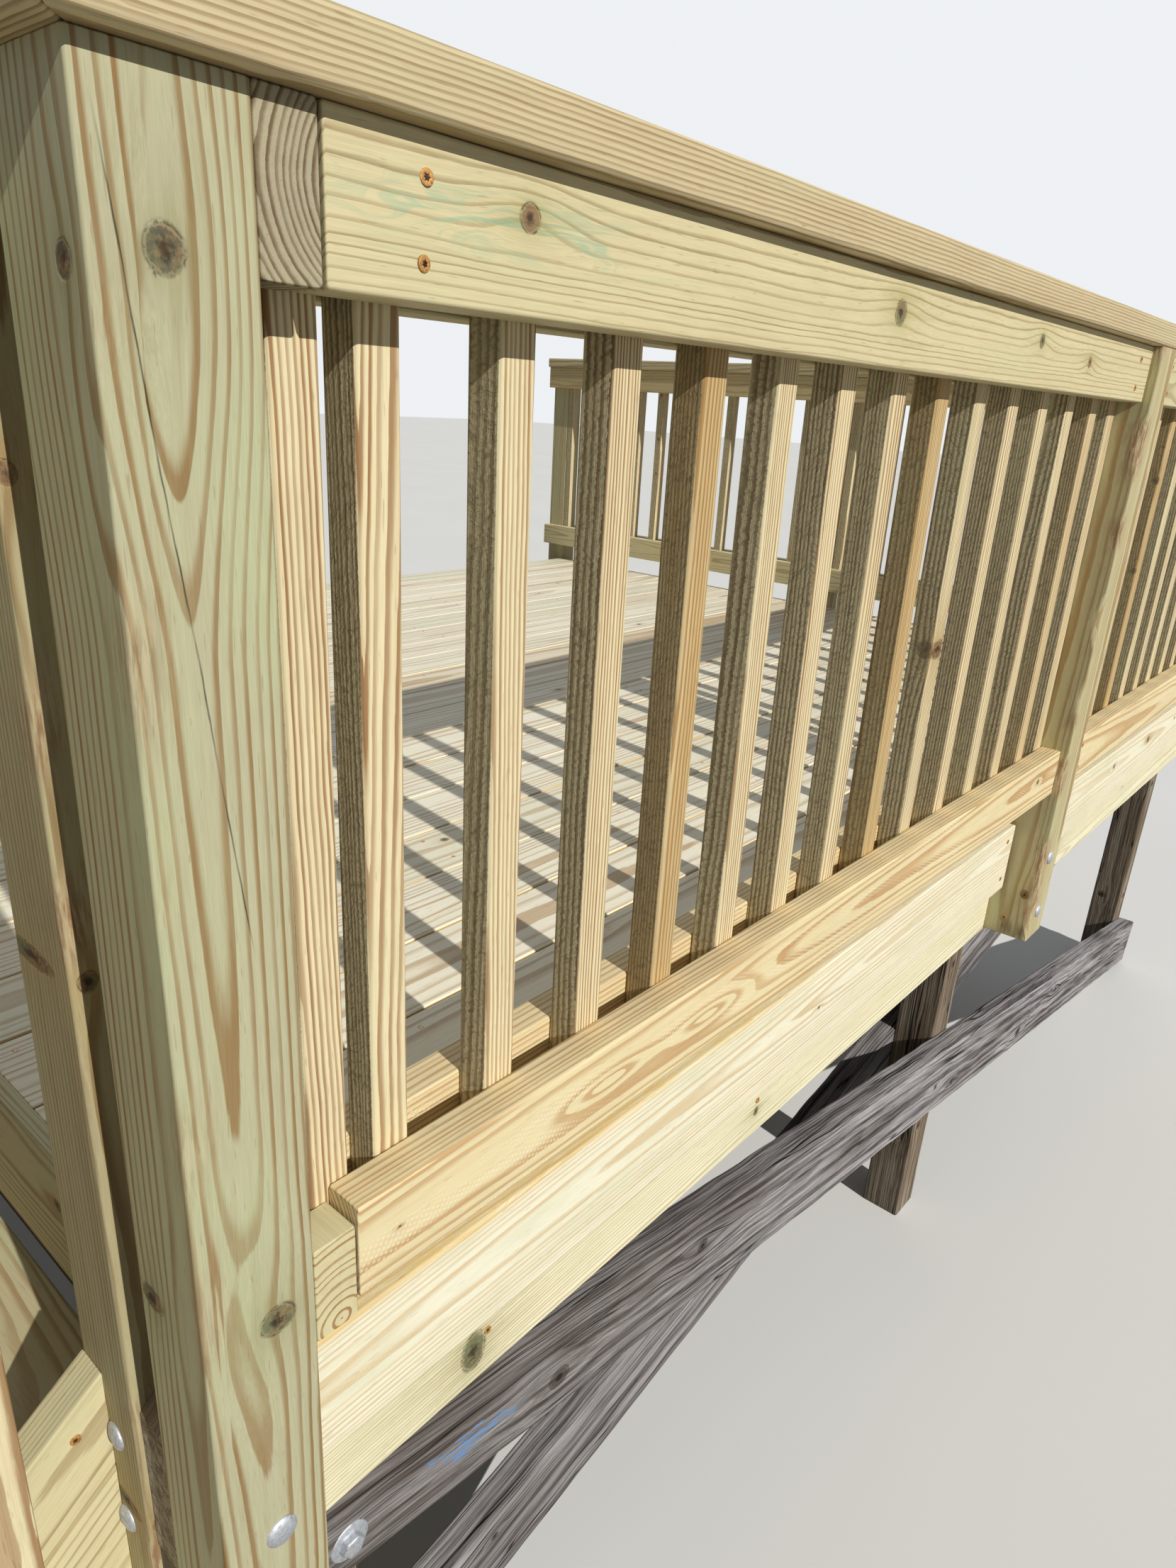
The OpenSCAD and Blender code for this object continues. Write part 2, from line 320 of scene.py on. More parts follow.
class Val:
    """A number socket that takes part in Python arithmetic."""

    def __init__(self, graph: "Graph", socket: Socket) -> None:
        """Wraps a socket of a graph."""
        self.graph, self.socket = graph, socket

    def __add__(self, other: "Val | float") -> "Val":
        """Sum."""
        return self.graph.math("ADD", self, other)

    def __sub__(self, other: "Val | float") -> "Val":
        """Difference."""
        return self.graph.math("SUBTRACT", self, other)

    def __rsub__(self, other: float) -> "Val":
        """Difference from a number."""
        return self.graph.math("SUBTRACT", other, self)

    def __mul__(self, other: "Val | float") -> "Val":
        """Product."""
        return self.graph.math("MULTIPLY", self, other)

    def __truediv__(self, other: "Val | float") -> "Val":
        """Quotient."""
        return self.graph.math("DIVIDE", self, other)

    def __neg__(self) -> "Val":
        """Opposite."""
        return self.graph.math("MULTIPLY", self, -1.0)

    __radd__, __rmul__ = __add__, __mul__

    def root(self) -> "Val":
        """Square root."""
        return self.graph.math("SQRT", self)

    def fract(self) -> "Val":
        """Fractional part."""
        return self.graph.math("FRACT", self)

    def floor(self) -> "Val":
        """Whole part."""
        return self.graph.math("FLOOR", self)

    def sine(self) -> "Val":
        """Sine."""
        return self.graph.math("SINE", self)

    def cosine(self) -> "Val":
        """Cosine."""
        return self.graph.math("COSINE", self)

    def size(self) -> "Val":
        """Absolute value."""
        return self.graph.math("ABSOLUTE", self)

    def least(self, other: "Val | float") -> "Val":
        """Smaller of two values."""
        return self.graph.math("MINIMUM", self, other)

    def most(self, other: "Val | float") -> "Val":
        """Larger of two values."""
        return self.graph.math("MAXIMUM", self, other)

    def below(self, other: float) -> "Val":
        """1 where the value is below a number, else 0."""
        return self.graph.math("LESS_THAN", self, other)

    def bell(self, width: float) -> "Val":
        """exp(-(value / width) squared), a smooth hump around zero."""
        part = self / width
        return self.graph.math("EXPONENT", -(part * part))

    def step(self, low: float, high: float, start: float = 0.0, end: float = 1.0) -> "Val":
        """Smooth step from start to end as the value goes from low to high."""
        node = self.graph.node("ShaderNodeMapRange", {"interpolation_type": "SMOOTHSTEP"},
                               {0: self, 1: low, 2: high, 3: start, 4: end})
        return Val(self.graph, node.outputs[0])


Number = Val | float


class Graph:
    """Node tree of one finish, with short ways to add nodes."""

    def __init__(self, name: str, world: bool = False) -> None:
        """Starts an empty tree of a material, or of a world, called name."""
        self.owner = (bpy.data.worlds if world else bpy.data.materials).new(name)
        self.owner.use_nodes = True
        self.tree = self.owner.node_tree
        self.tree.nodes.clear()

    def node(self, kind: str, settings: dict | None = None,
             inputs: dict | None = None) -> bpy.types.Node:
        """Adds a node, sets its settings first and then its sockets.

        Args:
            kind: the node's type.
            settings: attribute name to value.
            inputs: socket index or name to a value, a Val or a socket.

        Returns:
            The new node.
        """
        made = self.tree.nodes.new(kind)
        for name, value in (settings or {}).items():
            setattr(made, name, value)
        for key, value in (inputs or {}).items():
            socket = made.inputs[key]
            if isinstance(value, Val):
                self.tree.links.new(value.socket, socket)
            elif isinstance(value, Socket):
                self.tree.links.new(value, socket)
            elif isinstance(value, tuple) and socket.type == "RGBA" and len(value) == 3:
                socket.default_value = (*value, 1.0)
            else:
                socket.default_value = value
        return made

    def math(self, operation: str, a: Number, b: Number = 0.0) -> Val:
        """One Math node with its operation and two values."""
        made = self.node("ShaderNodeMath", {"operation": operation}, {0: a, 1: b})
        return Val(self, made.outputs[0])

    def vector(self, x: Number, y: Number, z: Number) -> Socket:
        """A vector from three values."""
        return self.node("ShaderNodeCombineXYZ", {}, {0: x, 1: y, 2: z}).outputs[0]

    def parts(self, socket: Socket) -> tuple[Val, Val, Val]:
        """The three values of a vector or colour."""
        made = self.node("ShaderNodeSeparateXYZ", {}, {0: socket})
        return tuple(Val(self, made.outputs[i]) for i in range(3))

    def attribute(self, name: str) -> tuple[Val, Val, Val]:
        """The three values of a mesh attribute."""
        made = self.node("ShaderNodeAttribute", {"attribute_name": name})
        return self.parts(made.outputs["Vector"])

    def noise(self, vector: Socket, detail: float = 2.0, rough: float = 0.5) -> Val:
        """Noise from 0 to 1 at a vector that already carries its scale."""
        made = self.node("ShaderNodeTexNoise", {}, {
            "Vector": vector, "Scale": 1.0, "Detail": detail, "Roughness": rough})
        return Val(self, made.outputs[0])

    def noise3(self, vector: Socket, detail: float = 1.0) -> tuple[Val, Val, Val]:
        """Three noises from 0 to 1 at a vector."""
        made = self.node("ShaderNodeTexNoise", {}, {
            "Vector": vector, "Scale": 1.0, "Detail": detail})
        return self.parts(made.outputs[1])

    def mix(self, a: object, b: object, factor: Number, blend: str = "MIX") -> Socket:
        """Mixes two colours; each is a socket or an RGB tuple."""
        made = self.node("ShaderNodeMix", {
            "data_type": "RGBA", "blend_type": blend, "clamp_factor": True},
            {0: factor, 6: a, 7: b})
        return made.outputs[2]

    def grey(self, value: Val) -> Socket:
        """A grey colour of that value."""
        return self.node("ShaderNodeCombineColor", {}, {0: value, 1: value, 2: value}).outputs[0]

    def shaded(self, colour: Socket, value: Val) -> Socket:
        """A colour multiplied by a value."""
        return self.mix(colour, self.grey(value), 1.0, "MULTIPLY")

    def surface(self, colour: object, rough: Number, height: Val | None = None,
                bump: float = 0.0, reach: float = 0.001, metallic: float = 0.0,
                specular: float = 0.3) -> bpy.types.Material:
        """Ends the tree in a Principled shader.

        Args:
            colour: base colour, a socket or an RGB tuple.
            rough: roughness, a Val or a number.
            height: height of the relief, or None for a plain surface.
            bump: strength of the relief.
            reach: depth of the relief in metres, where its height is 1.
            metallic: metalness.
            specular: specular level.

        Returns:
            The finished material.
        """
        inputs = {"Base Color": colour, "Roughness": rough, "Metallic": metallic,
                  "Specular IOR Level": specular}
        if height is not None:
            inputs["Normal"] = self.node("ShaderNodeBump", {}, {
                "Strength": bump, "Distance": reach, "Height": height}).outputs[0]
        shader = self.node("ShaderNodeBsdfPrincipled", {}, inputs)
        self.node("ShaderNodeOutputMaterial", {}, {0: shader.outputs[0]})
        return self.owner


# ---------------- finishes


@dataclass(frozen=True)
class Knots:
    """Shared shader maths of the knots that boards carry in their attributes."""

    count: int = 4
    wrap: float = 1.9  # metres after which a knot comes again along the board
    shorten: float = 0.82
    oval: float = 0.42
    reach: float = 2.5
    pull: float = 0.9
    behind: float = 50.0  # added on the far side of the pith, where the rod isn't

    def distance(self, g: Graph, s: Val, y: Val, z: Val) -> tuple[Val, Val, Val, Val]:
        """Distance from the nearest knot, and the place moved so that the grain flows around it.

        A knot is a rod from the pith outward at an angle. The second distance shortens the way
        along the board, so its levels are long ovals. The moved place is drawn towards the rod
        inside the oval, so that straight rings come out bent around the knot.

        Args:
            g: the finish's graph.
            s: place along the log, in metres.
            y: place across it.
            z: place across it, square to y.

        Returns:
            Both distances over the knot's radius, 1 at its rim, and the moved y and z.
        """
        rims, ovals = [], []
        moved_y, moved_z = y, z
        for i in range(self.count):
            where, turn, radius = g.attribute(f"knot{i + 1}")
            run = ((s - where) / self.wrap + 0.5).fract() - 0.5
            run = run * (self.wrap * self.shorten)
            cosine, sine = turn.cosine(), turn.sine()
            out = y * cosine + z * sine
            side = z * cosine - y * sine
            wrong = out.below(0.0) * self.behind
            rims.append((run * run + side * side).root() / radius + wrong)
            oval = (run * run * self.oval**2 + side * side).root() / radius + wrong
            ovals.append(oval)
            pull = side * oval.bell(self.reach) * self.pull
            moved_y, moved_z = moved_y + pull * sine, moved_z - pull * cosine
        return reduce(Val.least, rims), reduce(Val.least, ovals), moved_y, moved_z


KNOTS = Knots()


class Wood:
    """A board's place in its log, as the values that the steps of a wood finish share."""

    SEED_REACH = 31.0  # how far apart two boards lie in the noise, over their seeds' distance

    def __init__(self, g: Graph) -> None:
        """Reads the board's attributes and finds its nearest knot."""
        self.g = g
        self.s, self.y, self.z = g.attribute("grain")
        # The lot's third value is painted light: painted shade above 0, painted golden sunlight
        # below 0.
        seed, self.tone, self.dark = g.attribute("lot")
        self.seed = seed * self.SEED_REACH
        self.far, self.oval, self.flow_y, self.flow_z = KNOTS.distance(g, self.s, self.y, self.z)

    def noise(self, along: float, across: float, detail: float = 2.0, rough: float = 0.5,
              flow: bool = False, shift: float = 0.0) -> Val:
        """Noise from 0 to 1.

        Args:
            along: its scale along the board.
            across: its scale across the board.
            detail: its octaves.
            rough: share of each finer octave.
            flow: whether it flows around the knots.
            shift: moves it along the board, away from other noises.
        """
        s = self.s * along + self.seed
        if shift:
            s = s + shift
        y, z = (self.flow_y, self.flow_z) if flow else (self.y, self.z)
        return self.g.noise(self.g.vector(s, y * across, z * across), detail, rough)

    def radius(self, along: float, across: float, detail: float, bend: float) -> Val:
        """Distance from the pith around the knots, bent by slow noise of these scales."""
        s = self.s * along + self.seed
        place = self.g.vector(s, self.y * across, self.z * across)
        bend_y, bend_z, _ = self.g.noise3(place, detail)
        y, z = self.flow_y + (bend_y - 0.5) * bend, self.flow_z + (bend_z - 0.5) * bend
        return (y * y + z * z).root()

    def ring_noise(self, r: Val, scale: float) -> Val:
        """Noise over the distance from the pith, which makes wide and narrow rings."""
        return self.g.noise(self.g.vector(r * scale, self.seed, 3.0), 1.0)


class PineWood(Wood):
    """The further values that the steps of new pine share."""

    def __init__(self, g: Graph, finish: "Pine") -> None:
        """Adds the skin's values, the noises that more than one step needs and the rings."""
        super().__init__(g)
        self.sawn, self.wane, self.front = g.attribute("skin")
        self.wave = self.noise(7.0, 26.0)
        self.fringe = self.noise(38.0, 420.0, rough=0.6, flow=True)
        self.fibre = self.noise(24.0, 1400.0, rough=0.6, flow=True)
        self.streak = self.noise(1.9, 120.0, rough=0.6, flow=True)
        self.blot = self.noise(3.4, 15.0, 3.0, 0.6, shift=9.0)
        self.mottle = self.noise(170.0, 170.0, 3.0, 0.65)
        self.t, self.band = finish.rings(self)


@dataclass(frozen=True)
class Pine:
    """New treated pine: pale early wood, tan late wood, knots, stains and saw marks."""

    name: str
    early: Vec = (0.72, 0.62, 0.35)
    late: Vec = (0.47, 0.30, 0.125)
    blush: Vec = (0.66, 0.50, 0.29)
    knot: Vec = (0.16, 0.085, 0.04)
    halo: Vec = (0.44, 0.30, 0.12)
    ring: float = 0.0045
    late_from: float = 0.42
    late_to: float = 0.80
    contrast: float = 0.85
    green: float = 0.3
    hatch: float = 0.0
    slant: float = 0.0
    wavy: float = 1.0
    core: float = 0.0
    drift: float = 1.7
    push: float = 0.003
    kink: Vec | None = None
    amber: Vec = (0.43, 0.235, 0.045)
    moss: Vec = (0.47, 0.50, 0.30)
    verdigris: Vec = (0.30, 0.50, 0.34)
    gold: Vec = (0.76, 0.53, 0.17)
    fuzz: Vec = (0.93, 0.84, 0.60)
    knot_tan: Vec = (0.33, 0.20, 0.095)
    knot_moss: Vec = (0.17, 0.20, 0.10)
    pith: Vec = (0.035, 0.022, 0.013)
    bark: Vec = (0.07, 0.042, 0.02)
    drab: Vec = (0.46, 0.43, 0.28)
    stroke: Vec = (0.14, 0.12, 0.065)
    husk_dark: Vec = (0.27, 0.145, 0.075)
    husk_pale: Vec = (0.55, 0.44, 0.27)
    gap: Vec = (0.03, 0.024, 0.017)
    fleck: Vec = (0.28, 0.17, 0.08)
    # Golden painted sunlight for edge faces that face the sun.
    sunny: Vec = (0.76, 0.51, 0.13)

    def material(self) -> bpy.types.Material:
        """Builds the finish, layer over layer: grain, stains, knots, saw marks, wane, crack."""
        g = Graph(self.name)
        w = PineWood(g, self)
        colour = self.marked(w, self.stained(w, self.grown(w)))
        colour, core, bark = self.knotted(w, colour)
        colour, relief = self.rough_sawn(w, colour)
        colour, husk = self.waned(w, colour)
        colour, crack = self.cracked(w, colour)
        height = w.band * 0.30 + w.fibre * 0.10 + relief
        height = height - core * 0.35 - bark * 0.5 - crack * 2.0 + w.wane * husk * 1.4
        rough = w.fibre.step(0.2, 0.8, 0.58, 0.72) + w.sawn * 0.2
        return g.surface(self.toned(w, colour), rough, height, 0.6, 0.0009, specular=0.22)

    def rings(self, w: PineWood) -> tuple[Val, Val]:
        """Year rings: the fractional part of the distance from the pith over a ring's width.

        Returns:
            Place within a ring from 0 to 1, and how much of the wood there is late wood.
        """
        r = w.radius(1.1, 7.0, 1.0, 0.013)
        r = r + (w.wave - 0.5) * (0.0034 * self.wavy) + (w.fringe - 0.5) * 0.0007
        r = r + w.oval.bell(2.1) * self.push
        for name, reach_s, reach_y in (("eye", 0.085, 0.016), ("eye2", 0.070, 0.014)):
            eye_s, eye_y, push = w.g.attribute(name)
            r = r + (w.s - eye_s).bell(reach_s) * (w.y - eye_y).bell(reach_y) * push
        if self.core:
            r = (r * r + self.core**2).root()
        if self.kink:
            low, high, push = self.kink
            r = r + w.s.step(low, high, push, 0.0)
        torn = w.g.noise(w.g.vector(w.s * 290.0 + w.seed, (w.y + w.z) * 45.0, 0.0), 1.0) - 0.5
        phase = r / self.ring + w.ring_noise(r, 60.0) * self.drift + torn * w.sawn * 0.45
        t = phase.fract()
        year = w.g.noise(w.g.vector(phase.floor() * 7.31, w.seed, 1.0), 0.0)
        band = t.step(self.late_from, self.late_to) * (1.0 - t.step(0.94, 1.0))
        return t, band * year.step(0.25, 0.72, 0.6, 1.0)

    def grown(self, w: PineWood) -> Socket:
        """Colour of early and late wood."""
        late = (w.band * self.contrast * w.streak.step(0.15, 0.7, 0.8, 1.1)).least(1.0)
        warm = w.streak.step(0.42, 0.75) * 0.45 + w.t.step(0.1, 0.9) * 0.12
        return w.g.mix(w.g.mix(self.early, self.blush, warm), self.late, late)

    def stained(self, w: PineWood, colour: Socket) -> Socket:
        """Amber heartwood on boards of positive tone, and the green of the treatment."""
        amber = w.tone.step(0.25, 1.0) * w.streak.step(0.2, 0.7, 0.7, 1.0) * (w.sawn * 0.2 + 0.8)
        colour = w.g.mix(colour, self.amber, amber * 0.7)
        tint = w.blot.step(0.47, 0.70) * self.green + (-w.tone).step(0.1, 1.0) * 0.35
        return w.g.mix(colour, self.moss, tint.least(0.8) * (1.0 - w.band * 0.6))

    def marked(self, w: PineWood, colour: Socket) -> Socket:
        """The board's own mark, a green run or a golden line, and the saw's cross hatch."""
        mark_s, mark_y, kind = w.g.attribute("mark")
        sway = w.wave - 0.5
        smear = w.g.noise(w.g.vector(w.s * 9.0 + w.seed, w.y * 210.0 + sway * 16.0, w.z * 210.0),
                          3.0, 0.6)
        run = (w.s - mark_s).bell(0.13) * (w.y - mark_y).bell(0.015) * smear.step(0.47, 0.60)
        colour = w.g.mix(colour, self.verdigris, run * kind.step(0.0, 1.0) * 0.75)
        line = (w.y - mark_y + sway * 0.016).bell(0.0065) * (-kind).step(0.0, 1.0)
        colour = w.g.mix(colour, self.gold, line * smear.step(0.3, 0.6, 0.25, 0.75))
        if self.hatch:
            teeth = (w.s * 760.0 + w.y * 300.0).sine()
            teeth = teeth * (w.s * 300.0 - w.y * 900.0 + w.wave * 5.0).sine()
            where = w.noise(5.0, 40.0, 1.0).step(0.50, 0.66)
            hatch = teeth.step(0.12, 0.5) * w.front * where * self.hatch
            colour = w.g.mix(colour, self.fuzz, hatch)
        return colour

    def knotted(self, w: PineWood, colour: Socket) -> tuple[Socket, Val, Val]:
        """Knots with a warm halo, a mottled heart and a broken ring of bark.

        Returns:
            The colour, and how much of the place is knot and how much is its bark.
        """
        g, grain = w.g, w.mottle - 0.5
        halo = w.far.bell(1.45) * 0.5 + w.oval.bell(1.9) * 0.42
        halo = halo + w.oval.bell(3.0) * w.streak.step(0.45, 0.68) * 0.35
        colour = g.mix(colour, self.halo, halo.least(0.8) * (0.6 + w.band * 0.4))
        core = (w.far + grain * 0.5).step(0.78, 1.0, 1.0, 0.0)
        heart = g.mix(self.knot, self.knot_tan, w.mottle.step(0.35, 0.7))
        heart = g.mix(heart, self.knot_moss, w.blot.step(0.42, 0.62) * 0.8)
        heart = g.mix(heart, self.pith, (w.far + grain * 0.9).step(0.15, 0.55, 0.85, 0.0))
        bark = (w.far - 1.0 + grain * 0.35).bell(0.09)
        colour = g.mix(colour, heart, core)
        return g.mix(colour, self.bark, bark * w.mottle.step(0.35, 0.62) * 0.85), core, bark

    def rough_sawn(self, w: PineWood, colour: Socket) -> tuple[Socket, Val]:
        """Colour and relief with fuzzy saw strokes on the faces that the mill left rough."""
        g = w.g
        slant = w.s * 38.0
        place = g.vector(w.s * 205.0 + (w.y + w.z) * 150.0 + (w.wave + w.blot) * 11.0,
                         w.y * 90.0 - slant, w.z * 90.0 - slant)
        strokes = g.noise(place, 4.0, 0.75)
        worn = g.mix(g.shaded(colour, w.band * -0.45 + 1.02), self.drab, 0.30)
        worn = g.mix(worn, self.stroke, strokes.step(0.47, 0.66) * 0.5)
        tooth = w.noise(70.0, 950.0, rough=0.7)
        return g.mix(colour, worn, w.sawn), (strokes * 2.4 + tooth * 1.5) * w.sawn

    def waned(self, w: PineWood, colour: Socket) -> tuple[Socket, Val]:
        """Colour with peeling husk where the log's round shows at an edge, and its noise."""
        husk = w.noise(26.0, 260.0, 3.0, 0.65)
        peel = w.g.mix(self.husk_dark, self.husk_pale, husk.step(0.42, 0.58))
        return w.g.mix(colour, peel, w.wane * w.blot.step(0.40, 0.56) * 0.85), husk

    def cracked(self, w: PineWood, colour: Socket) -> tuple[Socket, Val]:
        """Colour with the board's drying crack and small flecks, and how open the crack is."""
        g = w.g
        at_y, start, end = g.attribute("split")
        off = w.y - at_y - (w.s - start) * self.slant
        off = off + (w.wave - 0.5) * 0.005 + (w.fringe - 0.5) * 0.0012
        past = (w.s - w.s.most(start).least(end)).size()
        crack = off.bell(0.00042) * past.step(0.0, 0.05, 1.0, 0.0) * w.z.below(0.0)
        opening = g.noise(g.vector(w.s * 14.0 + w.seed, 0.0, 2.0))
        crack = crack * opening.step(0.30, 0.62, 0.12, 0.9)
        colour = g.mix(colour, self.gap, crack)
        fleck = w.noise(55.0, 700.0, 0.0).step(0.75, 0.82)
        return g.mix(colour, self.fleck, fleck * 0.35), crack

    def toned(self, w: PineWood, colour: Socket) -> Socket:
        """Fine grain tones, painted sunlight at lot values below 0 and painted shade above 0."""
        shade = w.fibre.step(0.2, 0.8, 0.90, 1.06) * w.blot.step(0.2, 0.8, 0.92, 1.05)
        # Painted golden sunlight where the lot's third value is below 0.
        colour = w.g.mix(colour, self.sunny, (-w.dark).step(0.0, 0.35) * 0.9)
        # Painted shade where the lot's third value is above 0.
        return w.g.shaded(colour, shade * (1.0 - w.dark.most(0.0) * 0.9))


@dataclass(frozen=True)
class OldTimber:
    """Weathered rough timber: silver-grey ridges, brown furrows, checks and stains."""

    name: str
    ridge: Vec = (0.42, 0.35, 0.265)
    furrow: Vec = (0.085, 0.066, 0.050)
    brown: Vec = (0.21, 0.15, 0.092)
    stain: float = 0.6
    end_darkening: float = 0.0
    end_tone: Vec = (0.070, 0.052, 0.038)
    gap: Vec = (0.008, 0.007, 0.006)
    knot: Vec = (0.06, 0.043, 0.034)
    pith: Vec = (0.012, 0.010, 0.009)
    knot_rim: Vec = (0.02, 0.015, 0.012)
    paint: Vec = (0.12, 0.30, 0.60)

    def material(self) -> bpy.types.Material:
        """Builds the finish; thin checks open where a stretched noise crosses its middle."""
        g = Graph(self.name)
        w = Wood(g)
        fibre = w.noise(10.0, 560.0, 3.0, 0.65, flow=True)
        blot = w.noise(2.6, 11.0, 3.0, 0.6)
        dark = self.furrows(w, fibre, blot)
        colour = self.stained_and_end_darkened(w, dark, blot)
        split = w.noise(1.3, 52.0, 1.0, flow=True, shift=5.0)
        check = (split - 0.5).bell(0.010) * w.noise(2.1, 14.0, 1.0).step(0.44, 0.56)
        colour = g.mix(colour, self.gap, check * 0.94)
        core, rim = w.far.step(0.75, 1.05, 1.0, 0.0), w.far - 1.0
        colour = g.mix(colour, self.knot, core * 0.8)
        colour = g.mix(colour, self.pith, w.far.step(0.25, 0.5, 0.9, 0.0))
        colour = g.mix(colour, self.knot_rim, rim.bell(0.08) * 0.6)
        height = 1.0 - dark * 0.8 - check * 1.8 - rim.bell(0.12) * 0.6 + fibre * 0.3 - core * 0.3
        rough = fibre.step(0.2, 0.8, 0.80, 0.94)
        return g.surface(self.dabbed(w, colour), rough, height, 1.0, 0.0020, specular=0.2)

    def furrows(self, w: Wood, fibre: Val, blot: Val) -> Val:
        """How deep the weather has eaten: 0 on the ridges to 1 in the furrows."""
        swirl = w.oval.bell(2.1)
        r = w.radius(1.6, 9.0, 2.0, 0.03) + swirl * 0.004
        t = (r / 0.0052 + w.ring_noise(r, 70.0) * 2.0).fract()
        band = t.step(0.2, 0.8) * (1.0 - t.step(0.86, 1.0))
        place = w.g.vector(w.s * 1.5 + w.seed, w.flow_y * 75.0 + swirl * 0.5, w.flow_z * 75.0)
        streak = w.g.noise(place, 3.0, 0.62)
        dark = streak.step(0.40, 0.64) * 0.62 + fibre.step(0.44, 0.70) * 0.42 + band * 0.22
        return (dark + blot.step(0.50, 0.68) * 0.25).least(1.0)

    def stained_and_end_darkened(self, w: Wood, dark: Val, blot: Val) -> Socket:
        """Grey wood with brown stains, darker towards the board's start."""
        colour = w.g.mix(self.ridge, self.furrow, dark)
        stain = blot.step(0.44, 0.62) * self.stain
        warm = (stain + w.tone.step(0.0, 1.0) * 0.5).least(0.8)
        colour = w.g.mix(colour, self.brown, warm * (1.0 - dark * 0.5))
        if self.end_darkening:
            # Darker towards the board's start, more in the furrows.
            dirt = w.s.step(0.15, 1.5, self.end_darkening, 0.0) * (0.5 + dark * 0.5)
            colour = w.g.mix(colour, self.end_tone, dirt)
        return colour

    def dabbed(self, w: Wood, colour: Socket) -> Socket:
        """Dabs of old blue paint around the board's mark."""
        mark_s, mark_y, kind = w.g.attribute("mark")
        smear = w.g.noise(w.g.vector(w.s * 26.0 + 3.0, w.y * 125.0, w.z * 125.0), 3.0, 0.6)
        near = (w.s - mark_s).bell(0.15) * (w.y - mark_y).bell(0.034) * kind.step(0.0, 1.0)
        return w.g.mix(colour, self.paint, (near * smear).step(0.43, 0.50) * 0.7)


@dataclass(frozen=True)
class Zinc:
    """Dull galvanised steel with soft spangle and dark dirt."""

    name: str
    tone: Vec = (0.56, 0.59, 0.64)
    dirt: Vec = (0.30, 0.29, 0.28)

    def material(self) -> bpy.types.Material:
        """Builds the finish: spangle cells and blotches change colour and gloss."""
        g = Graph(self.name)
        place = g.node("ShaderNodeTexCoord").outputs["Object"]
        x, y, z = g.parts(place)
        blot = g.noise(g.vector(x * 160.0, y * 160.0, z * 160.0), 3.0, 0.6)
        cells = g.node("ShaderNodeTexVoronoi", {}, {"Vector": place, "Scale": 420.0})
        spark = Val(g, cells.outputs[0])
        colour = g.mix(self.tone, self.dirt, blot.step(0.45, 0.75) * 0.7)
        colour = g.shaded(colour, spark.step(0.0, 0.9, 0.86, 1.1))
        return g.surface(colour, blot.step(0.2, 0.8, 0.44, 0.70), blot, 0.3, 0.0006, metallic=0.62)


@dataclass(frozen=True)
class Screw:
    """Tan-coated screw steel with a worn bronze sheen."""

    name: str
    tone: Vec = (0.58, 0.30, 0.09)
    worn: Vec = (0.16, 0.08, 0.035)

    def material(self) -> bpy.types.Material:
        """Builds the finish: fine blotches darken the coating."""
        g = Graph(self.name)
        x, y, z = g.parts(g.node("ShaderNodeTexCoord").outputs["Object"])
        blot = g.noise(g.vector(x * 500.0, y * 500.0, z * 500.0))
        colour = g.mix(self.tone, self.worn, blot.step(0.45, 0.75))
        return g.surface(colour, blot.step(0.2, 0.8, 0.38, 0.58), blot, 0.2, 0.0004, metallic=0.3)


